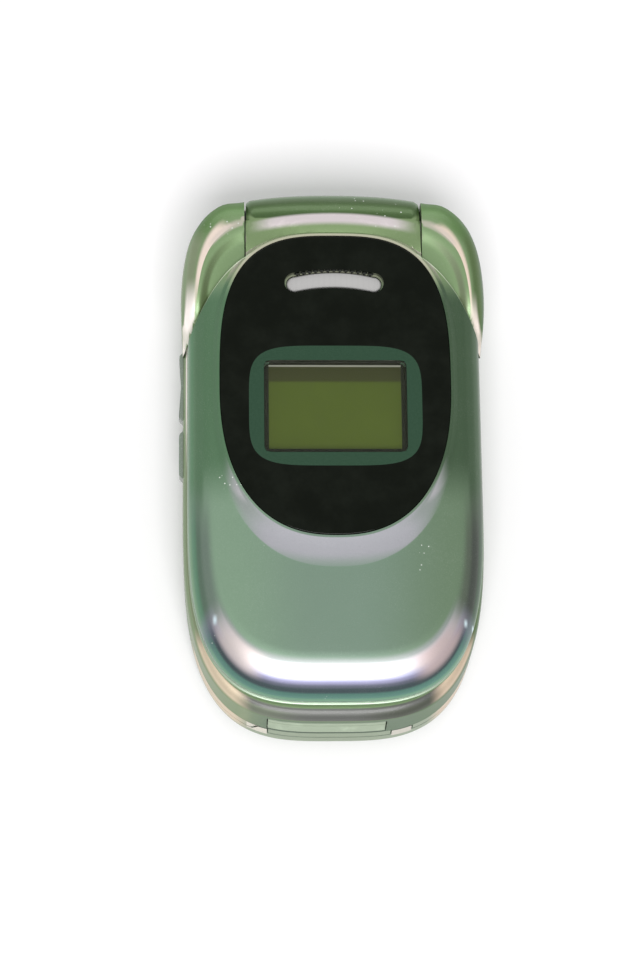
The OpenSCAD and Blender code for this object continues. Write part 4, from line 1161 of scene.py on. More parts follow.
@dataclass(frozen=True)
class Plan:
    """Sizes of the casings and the hinge, in millimetres."""

    half: float = 24.2
    bottom: float = 43.6
    back: float = 43.8
    waist: float = -5.0
    seam_z: float = 6.2
    deck_z: float = 12.2
    deck_t: float = 1.2
    wall: float = 1.3
    back_round: float = 3.2
    lean: float = 0.27
    curve_back: float = 9.0
    curve_side: float = 3.1
    hinge_y: float = 38.2
    hinge_z: float = 16.0
    barrel_r: float = 5.6
    tongue: float = 14.0
    turn_gap: float = 0.3
    bore_r: float = 3.1
    ear_r: float = 8.0
    ear_flare: float = 7.5
    ear_power: float = 1.6
    ear_margin: float = 2.8
    lid_step: float = 0.7
    lid_end_step: float = 4.1
    lid_curve: float = 3.4
    lid_low: float = 12.75
    lid_seam: float = 14.2
    face_z: float = 21.0

    @property
    def ear_x(self) -> float:
        """Inner face of the ears."""
        return self.tongue + self.turn_gap

    @property
    def ear_reach(self) -> float:
        """Width over which the ear's shoulder flares."""
        return self.half - self.ear_margin - self.ear_x

    def casing(self, side: float, low: float, high: float, curve: float = 3.3) -> Outline:
        """Gives the casing's outline, drawn in at the sides, the bottom end and the hinge end.

        Args:
            side: inset at the sides.
            low: inset at the bottom end.
            high: inset at the hinge end.
            curve: sharpness toward the bottom end.

        Returns:
            The outline.
        """
        return Outline(self.half - side, self.bottom + self.waist - low, self.back - self.waist - high,
                       curve, self.curve_back, 0.0, self.waist, self.curve_side)

    def lid(self, side: float, low: float, high: float = 0.0) -> Outline:
        """Gives the lid's outline, drawn in from its own edge."""
        return self.casing(self.lid_step + side, self.lid_end_step + low, high, self.lid_curve)

    def rake(self, z: float) -> float:
        """Tells how far the bottom end leans in at a height."""
        return self.lean * (z - self.back_round)

    def ear_radius(self, x: float) -> float:
        """Gives the radius of the ear about the hinge axis at a place across the phone."""
        return self.ear_r + self.ear_flare * (max(0.0, x - self.ear_x) / self.ear_reach) ** self.ear_power

    @property
    def axis(self) -> tuple[float, float, float]:
        """Middle of the hinge axis."""
        return 0, self.hinge_y, self.hinge_z

    @property
    def trough_z(self) -> float:
        """Height to which the casing is cut down behind the hinge axis."""
        return self.hinge_z - self.barrel_r * 0.75

    def axle(self, low: float, high: float, radius: float, steps: int = 128) -> Form:
        """Makes a round along the hinge axis between two places across the phone."""
        return Form.rod(radius, low, high, self.axis, steps, "X")

    def shoulder(self, extra: float, places: int = 24) -> Form:
        """Turns the ear's shoulder about the hinge axis, with a clearance."""
        far = self.half + 1
        across = [self.ear_x + (far - self.ear_x) * i / places for i in range(places + 1)]
        profile = [(0, self.ear_x)] + [(self.ear_radius(x) + extra, x) for x in across] + [(0, far)]
        return Form.lathe(profile, "X", self.axis, 192)

    def across(self, points: Sequence[tuple[float, float]], low: float, high: float) -> Form:
        """Carries a side view outline across the phone between two places."""
        form = Form.prism(points, low, high)
        turn = Matrix(((0, 0, 1), (1, 0, 0), (0, 1, 0))).to_4x4()
        bmesh.ops.transform(form.mesh, matrix=turn, verts=form.mesh.verts[:])
        return form


PLAN = Plan()


def quarter(steps: int) -> list[float]:
    """Gives angles from 0 to a right angle in equal steps."""
    return [math.pi / 2 * i / steps for i in range(steps + 1)]


def curve_through(points: Sequence[tuple[float, float]], steps: int = 8) -> list[tuple[float, float]]:
    """Runs a smooth curve through points.

    Args:
        points: the points in order.
        steps: segments between two of them.

    Returns:
        Points along the curve.
    """
    ends = [points[0], *points, points[-1]]
    line = []
    for a, b, c, d in zip(ends, ends[1:], ends[2:], ends[3:]):
        for i in range(steps):
            t = i / steps
            line.append(tuple(0.5 * (2 * q + (r - p) * t + (2 * p - 5 * q + 4 * r - s) * t * t
                                     + (3 * q - p - 3 * r + s) * t ** 3) for p, q, r, s in zip(a, b, c, d)))
    return line + [points[-1]]


def eased(value: float, start: float, end: float) -> float:
    """Rises smoothly from 0 to 1 between two values."""
    t = min(1.0, max(0.0, (value - start) / (end - start)))
    return t * t * (3 - 2 * t)


# ---------- Lid ----------


@dataclass(frozen=True)
class Lid:
    """Lid with its barrel, apron and lens seat, lens, light bar, displays and inner half, in millimetres."""

    plan: Plan = PLAN
    roll_h: float = 4.0
    roll_side: float = 4.6
    roll_end: float = 7.6
    roll_foot: float = 0.15
    end_soft: float = 1.7
    skirt: tuple[tuple[float, float, float], ...] = ((0.55, 0.6, 0.0), (0.3, 0.35, 1.0))
    face_steps: int = 14
    face_step: float = 1.2
    face_step_high: float = 0.9
    crown: float = 0.1
    crown_reach: float = 20.0
    sweep: tuple[float, float] = (31.0, 37.5)
    blend: float = 0.5
    barrel_skin: float = 0.015
    barrel_drop: float = 1.0
    barrel_power: float = 2.4
    barrel_soft: float = 0.35
    lens: Outline = Outline(18.3, 24.8, 24.3, curve_low=2.4, curve_high=3.0, y=11.0)
    lens_low: float = 20.65
    lens_top: float = 21.55
    seat_gap: float = 0.07
    rim_round: float = 0.25
    apron_side: float = 1.5
    apron_low: float = 6.4
    apron_high: float = 0.8
    apron_curve: float = 2.35
    apron_power: float = 1.6
    apron_steps: int = 8
    hollow: tuple[tuple[float, float, float], ...] = ((-17.0, -23.0, 10.0), (17.0, 24.0, 19.8))
    window: Outline = pill(0, 7.0, 23.0, 15.4, 12)
    printed: Outline = Outline(13.7, 9.7, 9.9, curve_low=4.5, curve_high=4.6, y=7.0)
    bar_w: float = 15.2
    bar_h: float = 2.6
    bar_y: float = 27.75
    bar_arch: float = 1.1
    bar_rise: float = 0.35
    bar_floor: float = 19.9
    bar_gap: float = 0.35
    ribs: int = 13
    rib_pitch: float = 0.98
    main_window: Outline = pill(0, 0, 29.0, 36.0, 24)
    main_lens: Outline = pill(0, 0, 35.0, 42.0, 9)
    main_lens_t: float = 0.75
    picture: Outline = pill(0, 0, 27.4, 34.4, 24)
    slot_y: float = -28.0
    slot_pitch: float = 1.9
    screw_r: float = 1.35

    def barrel_radius(self, x: float) -> float:
        """Gives the barrel's radius, which falls off toward its ends."""
        return self.plan.barrel_r - self.barrel_fall(x)

    def barrel_fall(self, x: float) -> float:
        """Gives how much lower the barrel's skin lies beside its middle."""
        return self.barrel_drop * min(1.0, abs(x) / self.plan.tongue) ** self.barrel_power

    def face_height(self, x: float, y: float) -> float:
        """Gives the height of the lid's top face: crowned, and swept up onto the barrel.

        Args:
            x: place across the phone.
            y: place along the phone.

        Returns:
            The height.
        """
        p = self.plan
        drop = self.barrel_fall(x) * eased(y, *self.sweep)
        flat = p.face_z + self.crown * (1 - (x / self.crown_reach) ** 2) - drop
        radius = self.barrel_radius(x) + self.barrel_skin
        ahead = max(0.0, p.hinge_y - y)
        if ahead >= radius or abs(x) > p.ear_x:
            return flat
        turn = p.hinge_z + math.sqrt(radius ** 2 - ahead ** 2)
        share = min(1.0, max(0.0, 0.5 + (turn - flat) / (2 * self.blend)))
        return flat + (turn - flat) * share + self.blend * share * (1 - share)

    def barrel(self) -> Form:
        """Makes the hinge barrel with softly rounded ends."""
        p = self.plan
        places = [p.tongue * i / 20 for i in range(-20, 21)]
        skin = [(self.barrel_radius(x), x) for x in places]
        for end in (0, -1):
            skin[end] = (skin[end][0] - self.barrel_soft, skin[end][1])
        profile = [(0, -p.tongue), *skin, (0, p.tongue)]
        return Form.lathe(profile, "X", p.axis, 160)

    def shell(self) -> Form:
        """Lofts the lid's outer skin from its skirt over the roll to the crowned face."""
        p, foot = self.plan, self.roll_foot
        roll_z = p.face_z - self.roll_h
        rings = [Ring(p.lid(side, end), p.lid_seam + rise) for side, end, rise in self.skirt]
        for a in quarter(14):
            inset, rise = 1 - math.cos(a), math.sin(a)
            inset_end = 1 - max(0.0, 1 - rise ** self.end_soft) ** (1 / self.end_soft)
            outline = p.lid(foot + (self.roll_side - foot) * inset, foot + (self.roll_end - foot) * inset_end)
            rings.append(Ring(outline, lambda x, y, rise=rise:
                              roll_z + (self.face_height(x, y) - roll_z) * rise))
        for step in range(1, self.face_steps + 1):
            inset, inset_high = self.face_step * step, self.face_step_high * step
            rings.append(Ring(p.lid(self.roll_side + inset, self.roll_end + inset, inset_high),
                              self.face_height))
        return Form.loft(rings, CASING_SEGMENTS)

    def apron(self) -> Form:
        """Lofts the slope that rises from the face to the lens, widest under its lower end."""
        lens, face_z = self.lens, self.plan.face_z
        wide = Outline(lens.half + self.apron_side, lens.low + self.apron_low, lens.high + self.apron_high,
                       self.apron_curve, lens.curve_high, lens.x, lens.y)
        near = lens.grown(0.5)
        rings = [Ring(wide, face_z - 0.6)]
        for i in range(self.apron_steps + 1):
            t = i / self.apron_steps
            rise = (self.lens_top - 0.05 - face_z) * t ** self.apron_power
            rings.append(Ring(wide.toward(near, t), lambda x, y, rise=rise, t=t:
                              self.face_height(x, y) * (1 - t) + face_z * t + rise - 0.03 * (1 - t)))
        rings.append(Ring(self.lens.grown(0.28), self.lens_top - 0.02))
        rings.append(Ring(self.lens.grown(0.1), self.lens_top - 0.06))
        return Form.loft(rings)

    def bar_outline(self, grow: float) -> list[tuple[float, float]]:
        """Gives the light bar's arched outline with round ends.

        Args:
            grow: margin around it.

        Returns:
            Its corners in order.
        """
        width, half = self.bar_w / 2 + grow, self.bar_h / 2 + grow
        straight = width - half

        def spine(x: float) -> float:
            """Gives the middle line's height along the bar."""
            return self.bar_y + self.bar_rise - self.bar_arch * (x / width) ** 2

        points = []
        for sign in (1, -1):
            for i in range(25):
                x = sign * straight * (i / 12 - 1) * -1
                points.append((x, spine(x) + sign * half))
            for i in range(1, 12):
                a = math.pi * i / 12
                x = -sign * (straight + half * math.sin(a))
                points.append((x, spine(straight) + sign * half * math.cos(a)))
        return points

    def cut_room(self) -> tuple[Form, Form, Form]:
        """Makes what is cut from the lid's halves.

        Returns:
            The room behind the hinge axis, and what the right and the left ear sweep.
        """
        p = self.plan
        behind = Form.box((-p.half - 2, p.hinge_y, 0), (p.half + 2, p.hinge_y + 60, 40))
        ears = p.shoulder(p.turn_gap).moved((-0.2, 0, 0))
        return behind, ears, ears.mirrored()

    def build_cover(self) -> None:
        """Builds the outer half with its barrel, apron, lens seat and windows."""
        p = self.plan
        form = self.shell().plus(self.apron())
        for tool in self.cut_room():
            form = form.minus(tool)
        form = form.plus(self.barrel()).minus(p.axle(-p.tongue - 1, p.tongue + 1, p.bore_r, 64))
        form = form.minus(Form.slab(self.lens.grown(self.seat_gap), self.lens_low - 0.02, self.lens_top + 1))
        form = form.minus(Form.box(*self.hollow))
        form = form.minus(Form.slab(self.window, 19.0, self.lens_top + 1, 128))
        form = form.minus(Form.prism(self.bar_outline(0.1), self.bar_floor, self.lens_top + 1))
        form.piece("lid_shell", "lid", [FACE_PAINT_AND_PAINTED_LIGHT.material()], "silver_paint", ["lid_cover"], LID_CREASE)

    def build_lens(self) -> None:
        """Builds the lens with its rounded rim, light bar slot, printed frame and display recess."""
        edge, low, high = self.rim_round, self.lens_low - 1, self.lens_top + 1
        rings = [Ring(self.lens, self.lens_low)]
        for a in quarter(4):
            rings.append(Ring(self.lens.grown(-edge * (1 - math.cos(a))),
                              self.lens_top - edge + edge * math.sin(a)))
        lens = Form.loft(rings).minus(Form.prism(self.bar_outline(self.bar_gap), low, high))
        recess = pill(0, self.window.y, self.window.half * 2 - 0.4, self.window.low * 2 - 0.4, 26)
        lens = lens.minus(Form.slab(recess, low, high, 128))
        lens.piece("lens_glaze", "lid", [LENS_GLAZE.material()], "black_lens", ["outer_lens"], LID_CREASE)
        frame_top = self.lens_top + 0.012
        frame = Form.slab(self.printed, self.lens_top - 0.1, frame_top, 192)
        frame = frame.minus(Form.slab(recess.grown(0.02), low, high, 128))
        frame.piece("display_frame", "lid", [FRAME_PRINT.material()], "black_lens")
        pane = Form.slab(recess.grown(-0.01), self.lens_top - 0.35, self.lens_top - 0.01, 128)
        pane.piece("display_pane", "lid", [CLEAR_PANE.material()], "black_lens")
        well = Form.slab(recess.grown(0.55), 19.72, 21.1, 128)
        well = well.minus(Form.slab(recess, 19.0, 22.0, 128))
        well.piece("display_well", "lid", [WELL_BLACK.material()], "black_lens")

    def build_bar(self) -> None:
        """Builds the light bar and the ribbed wall that stands behind it."""
        bar = Form.prism(self.bar_outline(0.0), self.bar_floor, 20.85).rounded(0.35, 3)
        bar.piece("light_bar", "lid", [BAR_FROST.material()], "light_guide", ["indicator_bar"], LID_CREASE)
        ribs = []
        for i in range(self.ribs):
            x = (i - self.ribs // 2) * self.rib_pitch
            spine = self.bar_y + self.bar_rise - self.bar_arch * (x / self.bar_w * 2) ** 2
            y = spine + self.bar_h / 2 + 0.22
            ribs.append(Form.box((x - 0.2, y - 0.12, 20.0), (x + 0.2, y + 0.1, 21.2)))
            ribs.append(Form.box((x - 0.46, y - 0.02, 20.0), (x + 0.46, y + 0.08, 21.0)))
        Form().with_parts(ribs).piece("light_bar_ribs", "lid", [WELL_BLACK.material()], "black_lens")

    def build_inner(self) -> None:
        """Builds the inner half with its lip, main lens seat, earpiece slots and screw seats."""
        p, seat_t = self.plan, self.main_lens_t
        low, high = p.lid_low, p.lid_seam
        rings = [Ring(p.lid(0.75, 0.8), low), Ring(p.lid(0.3, 0.35), low + 0.2),
                 Ring(p.lid(0.05, 0.1), low + 0.6), Ring(p.lid(0.0, 0.05), low + 0.95),
                 Ring(p.lid(0.12, 0.15), high - 0.14), Ring(p.lid(0.5, 0.5), high)]
        form = Form.loft(rings, CASING_SEGMENTS)
        for tool in self.cut_room():
            form = form.minus(tool)
        form = form.minus(p.axle(-p.ear_x, p.ear_x, p.barrel_r + 0.15, 96))
        form = form.minus(Form.slab(self.main_window, low - 1, high + 1, 96))
        form = form.minus(Form.slab(self.main_lens.grown(0.08), low - 1, low + seat_t + 0.05, 96))
        slots = [Form.slab(pill(i * self.slot_pitch, self.slot_y, 0.8, 3.4 - abs(i) * 0.5, 5),
                           low - 1, high + 1, 32) for i in range(-2, 3)]
        seats = [Form.rod(self.screw_r, low - 1, low + seat_t, (x, y, 0), 32) for x, y in self.screw_places()]
        form = form.minus(Form().with_parts(slots + seats))
        form.piece("lid_inner_half", "lid", [INNER_PAINT_AND_PAINTED_LIGHT.material()], "silver_paint_light",
                   ["lid_inner"], LID_CREASE)

    def screw_places(self) -> list[tuple[float, float]]:
        """Gives the places of the lid screws."""
        return [(s * x, y) for s in (-1, 1) for x, y in ((19.4, 16.0), (14.5, -30.2))]

    def build_main_screen(self) -> None:
        """Builds the main lens with its rounded rim and the printed border round the picture."""
        low = self.plan.lid_low + 0.05
        rings = [Ring(self.main_lens.grown(-0.2), low), Ring(self.main_lens.grown(-0.06), low + 0.06),
                 Ring(self.main_lens, low + 0.2), Ring(self.main_lens, low + 0.7)]
        lens = Form.loft(rings, 160).minus(Form.slab(self.picture, low - 1, low + 0.45, 96))
        lens.piece("main_window", "lid", [MAIN_GLAZE.material()], "black_lens", ["main_lens"], LID_CREASE)
        glass = Form.slab(self.picture.grown(-0.02), low + 0.02, low + 0.44, 96)
        glass.piece("main_picture", "lid", [MAIN_CRYSTAL.material()], "lcd_dark")

    def build(self) -> None:
        """Builds every piece of the lid."""
        self.build_cover()
        self.build_lens()
        self.build_bar()
        self.build_inner()
        self.build_main_screen()


# ---------- Keys ----------


class Row(Enum):
    """Kind of a key, which sets its finish and its legend's colour."""

    DIGIT = "digit"
    SOFT = "soft"
    CALL = "call"
    END = "end"


@dataclass(frozen=True)
class Key:
    """One pressed key: its node, place, size and legend, in millimetres."""

    node: str
    x: float
    y: float
    width: float
    length: float
    legend: str
    row: Row = Row.DIGIT
    rim: float = 0.5

    @property
    def outline(self) -> Outline:
        """Outline of the cap."""
        return pill(self.x, self.y, self.width, self.length)

    @property
    def finish(self) -> KeyPaint:
        """Finish of the cap."""
        return {Row.CALL: KEY_GREEN, Row.END: KEY_RED}.get(self.row, KEY_SILVER)


def digit_keys() -> list[Key]:
    """Lays out the twelve digit keys in rows of three."""
    names = ["1", "2", "3", "4", "5", "6", "7", "8", "9", "star", "0", "hash"]
    signs = {"star": "*", "hash": "#"}
    pitch_x, pitch_y, top = 13.4, 7.1, -4.0
    width, length = 12.2, 5.8
    return [Key(f"key_{name}", (i % 3 - 1) * pitch_x, top - (i // 3) * pitch_y, width, length,
                signs.get(name, name)) for i, name in enumerate(names)]


KEYS = digit_keys() + [
    Key("soft_key_left", -15.0, 21.0, 8.0, 5.0, "bar", Row.SOFT),
    Key("soft_key_right", 15.0, 21.0, 8.0, 5.0, "bar", Row.SOFT),
    Key("call_key", -13.4, 4.0, 11.4, 5.0, "phone", Row.CALL),
    Key("end_key", 13.4, 4.0, 11.4, 5.0, "phone_down", Row.END),
    Key("clear_key", 0.0, 3.6, 8.6, 4.4, "C", Row.SOFT, 0.4),
]


def lettering(body: str, size: float, x: float, y: float, low: float, high: float) -> Form:
    """Raises a plain character into a solid.

    Args:
        body: the character.
        size: its height.
        x: its middle across the phone.
        y: its middle along the phone.
        low: height of its underside.
        high: height of its face.

    Returns:
        The form.
    """
    data = bpy.data.curves.new("legend", "FONT")
    data.body, data.size, data.extrude = body, size, (high - low) / 2
    data.align_x, data.align_y, data.resolution_u = "CENTER", "CENTER", 6
    thing = bpy.data.objects.new("legend", data)
    bpy.context.scene.collection.objects.link(thing)
    mesh = bpy.data.meshes.new_from_object(thing.evaluated_get(bpy.context.evaluated_depsgraph_get()))
    form = Form()
    form.mesh.from_mesh(mesh)
    bpy.data.objects.remove(thing)
    bpy.data.curves.remove(data)
    bpy.data.meshes.remove(mesh)
    return form.moved((x, y, (low + high) / 2))


@dataclass(frozen=True)
class Keypad:
    """Keypad: pressed keys with their legends, navigation ring and select key, in millimetres."""

    plan: Plan = PLAN
    flange_low: float = 10.35
    flange_top: float = 10.85
    rise: float = 0.2
    edge: float = 0.45
    ring_y: float = 16.4
    ring_r: float = 8.4
    select_r: float = 3.4

    def cap(self, key: Key) -> Form:
        """Lofts a key from its rim to its rounded cap."""
        top = self.plan.deck_z + self.rise
        rim = key.outline.grown(key.rim)
        rings = [Ring(rim, self.flange_low), Ring(rim, self.flange_top),
                 Ring(key.outline, self.flange_top + 0.02)]
        for a in quarter(5):
            rings.append(Ring(key.outline.grown(-self.edge * (1 - math.cos(a))),
                              top - self.edge * (1 - math.sin(a))))
        return Form.loft(rings, 96)

    def handset(self, key: Key, low: float, high: float, down: bool) -> Form:
        """Draws a handset sign: a bowed grip between two ends.

        Args:
            key: the key that carries it.
            low: height of its underside.
            high: height of its face.
            down: whether it is hung up.

        Returns:
            The form.
        """
        sign = -1 if down else 1
        bearings = [math.radians(degrees) for degrees in range(-64, 65, 8)]
        grip = [(2.0 * math.sin(a), 1.5 * math.cos(a) * sign) for a in bearings]
        under = [(0.68 * x, 0.62 * y + 0.12 * sign) for x, y in reversed(grip)]
        bow = Form.prism([(key.x + x, key.y + y - 1.0 * sign) for x, y in grip + under], low, high)
        for side in (-1, 1):
            end = pill(key.x + side * 1.55, key.y - 0.55 * sign, 1.1, 0.9, 3)
            bow = bow.plus(Form.slab(end, low, high, 24))
        return bow

    def legend(self, key: Key) -> Form:
        """Draws a key's sign just above its cap."""
        top = self.plan.deck_z + self.rise
        low, high = top - 0.05, top + 0.015
        if key.legend == "bar":
            return Form.slab(pill(key.x, key.y, 2.6, 0.55, 3), low, high, 32)
        if key.legend.startswith("phone"):
            return self.handset(key, low, high, key.legend.endswith("down"))
        if key.legend == "*":
            return lettering("*", 4.6, key.x, key.y - 0.9, low, high)
        return lettering(key.legend, 3.4, key.x, key.y, low, high)

    def build_key(self, key: Key) -> None:
        """Builds a key and its legend."""
        body = f"{key.node}_body"
        silver = key.row in (Row.DIGIT, Row.SOFT)
        slot = {Row.CALL: "key_green", Row.END: "key_red"}.get(key.row, "key_silver")
        self.cap(key).piece(f"{key.node}_cap", body, [key.finish.material()], slot, [key.node], FINE_CREASE)
        ink = LEGEND_DARK if silver else LEGEND_PALE
        self.legend(key).piece(f"{key.node}_legend", body, [ink.material()], slot)

    def build_ring(self) -> None:
        """Builds the navigation ring with a mark toward each side."""
        low, top = self.flange_top - 0.5, self.plan.deck_z + self.rise
        outer, inner = self.ring_r, self.select_r + 0.2
        edge = [(outer - 0.5 + 0.5 * math.cos(a), top - 0.5 + 0.5 * math.sin(a) - 0.08) for a in quarter(5)]
        lip = [(inner + 0.4 - 0.4 * math.sin(a), top - 0.4 + 0.4 * math.cos(a) - 0.12) for a in quarter(5)]
        flange, seat = 0.4, self.flange_top + 0.5
        profile = [(inner + 0.8, low), (outer + flange, low), (outer + flange, low + flange),
                   (outer, low + flange), *edge, (outer - 1.6, top), (inner + 1.3, top - 0.06), *lip,
                   (inner, seat), (inner + 0.8, seat)]
        ring = Form.lathe(profile, "Z", (0, self.ring_y, 0), 128)
        ring.piece("navigation_ring", "navigation", [RING_PAINT.material()], "key_silver",
                   ["nav_ring"], FINE_CREASE)
        marks = []
        tip = [(6.5, 0.0), (5.7, -0.75), (5.7, 0.75)]
        for i in range(4):
            c, s = math.cos(math.pi / 2 * i), math.sin(math.pi / 2 * i)
            corners = [(x * c - y * s, self.ring_y + x * s + y * c) for x, y in tip]
            marks.append(Form.prism(corners, top - 0.12, top + 0.01))
        Form().with_parts(marks).piece("ring_marks", "navigation", [LEGEND_DARK.material()], "key_silver")

    def build_select(self) -> None:
        """Builds the dished select key."""
        low, top, r = self.flange_low, self.plan.deck_z + self.rise, self.select_r
        flange, foot, depth = 0.6, 0.5, 0.22
        dish = [(r * t, top - depth * (1 - t * t)) for t in (0.82, 0.7, 0.55, 0.4, 0.25, 0.12, 0.0)]
        profile = [(0, low), (r + flange, low), (r + flange, low + foot), (r, low + foot), (r, top - 0.4),
                   (r - 0.08, top - 0.2), (r - 0.25, top - 0.06), (r - 0.45, top), *dish]
        select = Form.lathe(profile, "Z", (0, self.ring_y, 0), 96)
        select.piece("select_cap", "select_key_body", [KEY_SILVER.material()], "key_silver",
                     ["select_key"], FINE_CREASE)

    def build(self) -> None:
        """Builds every key."""
        for key in KEYS:
            self.build_key(key)
        self.build_ring()
        self.build_select()


# ---------- Base ----------


@dataclass(frozen=True)
class Base:
    """Base: front casing with its hinge ears, rear casing, battery pack, covers and side buttons, in mm."""

    plan: Plan = PLAN
    roll_h: float = 2.2
    roll_side: float = 0.9
    roll_end: float = 2.3
    ear_top: float = 21.6
    ear_foot: float = 10.0
    ear_swell: tuple[float, float] = (15.0, 28.0)
    ear_tuck: float = 0.9
    tuck_from: float = 18.5
    tuck_along: tuple[float, float] = (36.0, 43.0)
    end_spread: float = 2.2
    keys_gap: float = 0.2
    ring_r: float = 8.4
    ring_y: float = 16.4
    port_x: float = -1.4
    port_w: float = 18.6
    port_top: float = 9.8
    hooks_x: tuple[float, float] = (-12.4, 10.7)
    case_top: float = 4.6
    case_end: float = 8.3
    grip_y: float = -38.43
    grip_pitch: float = 1.3
    grip_depth: float = 0.27
    screw_r: float = 1.4
    speaker_at: tuple[float, float] = (-9, 25.6)
    speaker_pitch: float = 1.6
    jack_y: float = 23.6
    jack_r: float = 1.45
    jack_seat: tuple[float, float] = (3.0, 1.8)
    microphone_r: float = 0.5
    microphone_at: tuple[float, float] = (6.7, -32.2)
    side_z: float = 9.0
    side_h: float = 3.0
    rocker_at: tuple[float, float] = (13.2, 11.6)
    side_key_at: tuple[float, float] = (1.8, 8.0)

    def shell(self) -> Form:
        """Lofts the side walls and the rolled edge of the deck, with a fine groove at the seam."""
        p = self.plan
        roll_z = p.deck_z - self.roll_h
        rings = [Ring(p.casing(0.3, p.rake(p.seam_z) + 0.3, 0.3), p.seam_z + 0.02),
                 Ring(p.casing(0.0, p.rake(p.seam_z), 0.0), p.seam_z + 0.28)]
        for a in quarter(8):
            inset = 1 - math.cos(a)
            outline = p.casing(self.roll_side * inset, p.rake(roll_z) + self.roll_end * inset, 0.3 * inset)
            rings.append(Ring(outline, roll_z + self.roll_h * math.sin(a)))
        return Form.loft(rings, CASING_SEGMENTS)

    def room(self) -> Form:
        """Makes the hollow inside the front casing."""
        p = self.plan
        roll_z, low = p.deck_z - self.roll_h, p.deck_z - p.deck_t
        inner = p.casing(p.wall, p.rake(p.seam_z) + p.wall, p.wall)
        shelf = p.casing(p.wall, p.rake(roll_z) + p.wall, p.wall)
        roof = p.casing(p.wall + self.roll_side, p.rake(roll_z) + self.roll_end + 0.8, p.wall + 0.4)
        rings = [Ring(inner, p.seam_z - 1), Ring(inner, p.seam_z), Ring(shelf, low - 1), Ring(roof, low)]
        return Form.loft(rings, 160)

    def ear_fall(self, y: float) -> float:
        """Gives how much of its full height the ear keeps at a place along the phone."""
        least, foot = 0.05, self.ear_foot
        line = curve_through([(10.0, 10.0), (17.2, 11.7), (21.2, 18.0), (24.7, 20.3), (29.5, 21.1),
                              (39.2, 21.6), (46, 21.6)])
        for (y0, z0), (y1, z1) in zip(line, line[1:]):
            if y0 <= y <= y1:
                height = z0 + (z1 - z0) * (y - y0) / max(1e-6, y1 - y0)
                return max(least, (height - foot) / (self.ear_top - foot))
        return 1.0 if y > 40 else least

    def ear(self) -> Form:
        """Builds the right hinge ear: a rounded ridge round its rim, a shallow valley and a flat shoulder."""
        p, foot = self.plan, self.ear_foot
        section = [(0.03, 10.0), (-0.1, 12.0), (-0.26, 14.0), (-0.4, 15.8), (-0.45, 17.2), (-0.36, 18.4),
                   (-0.1, 19.4), (0.35, 20.2), (0.9, 20.82), (1.5, 21.18), (2.1, 21.32), (2.55, 21.24),
                   (2.9, 21.04), (3.2, 20.78), (3.55, 20.62), (4.05, 20.62), (4.75, 20.78), (5.9, 21.02),
                   (7.4, 21.24), (9.4, 21.38), (12.0, 21.42)]
        rings = [Ring(p.casing(inset, 0.0, max(0.03, inset * self.end_spread)),
                      lambda x, y, top=top: foot + (top - foot) * self.ear_fall(y)) for inset, top in section]
        form = Form.loft(rings, 360)
        for v in form.mesh.verts:
            v.co.x = min(v.co.x, p.half + max(0.0, v.co.x - p.half) * eased(v.co.y, *self.ear_swell))
            v.co.y -= self.ear_tuck * eased(v.co.x, self.tuck_from, p.ear_x) * eased(v.co.y, *self.tuck_along)
        side = Form.box((p.ear_x, 14.0, 8.0), (p.half + 1, p.back + 2, 23.0))
        return form.within(side).within(p.shoulder(0.0)).rounded(0.22, 3, SHARP, self.parting_edge)

    def parting_edge(self, edge: bmesh.types.BMEdge) -> bool:
        """Tells whether an edge lies on the ear's upper parting line."""
        p = self.plan
        return all(v.co.z > p.deck_z + 1.5 and v.co.x < p.half - 0.6 and v.co.y < p.hinge_y + 3
                   for v in edge.verts)

    def openings(self) -> list[Form]:
        """Makes the openings for the keys, the side controls, the jack and the connector.

        Returns:
            All openings that don't meet, and the jack's bore, which meets the seat of its cover.
        """
        p, gap, wall_x = self.plan, self.keys_gap, -self.plan.half
        low, high = p.deck_z - p.deck_t - 0.8, p.deck_z + 1
        cuts = [Form.slab(key.outline.grown(gap), low, high, 64) for key in KEYS]
        round_r = self.ring_r + gap
        cuts.append(Form.slab(Outline(round_r, round_r, round_r, 2, 2, 0, self.ring_y), low, high, 96))
        for y, length in (self.rocker_at, self.side_key_at):
            low_z, high_z = self.side_z - self.side_h / 2 - gap, self.side_z + self.side_h / 2 + gap
            cuts.append(Form.box((wall_x - 2, y - length / 2 - gap, low_z),
                                 (wall_x + p.wall + 1, y + length / 2 + gap, high_z)))
        far, tall = self.jack_seat
        cuts.append(Form.box((wall_x - 1.5, self.jack_y - far, self.side_z - tall),
                             (wall_x + 0.8, self.jack_y + far, self.side_z + tall)))
        cuts.append(Form.box((self.port_x - self.port_w / 2 - gap, -p.bottom - 6, p.seam_z - 1),
                             (self.port_x + self.port_w / 2 + gap, -p.bottom + 6, self.port_top + 0.35)))
        cuts.append(Form.rod(self.microphone_r, 10, 13, (*self.microphone_at, 0), 32))
        bore = Form.rod(self.jack_r, wall_x - 1, wall_x + 3, (0, self.jack_y, self.side_z - 0.6), 48, "X")
        return [Form().with_parts(cuts), bore]

    def trough(self) -> Form:
        """Makes the trough under the barrel, just below the deck's face."""
        p = self.plan
        ring = p.axle(-p.ear_x + 0.02, p.ear_x - 0.02, p.barrel_r + p.turn_gap + p.wall)
        box = Form.box((-p.half, p.hinge_y - 7.6, p.hinge_z - p.barrel_r - 3),
                       (p.half, p.hinge_y + 4.9, p.deck_z - 0.03))
        form = ring.within(box).minus(p.axle(-p.half, p.half, p.barrel_r + p.turn_gap))
        return form.minus(Form.box((-p.half, p.hinge_y, p.trough_z), (p.half, p.back + 6, 22)))

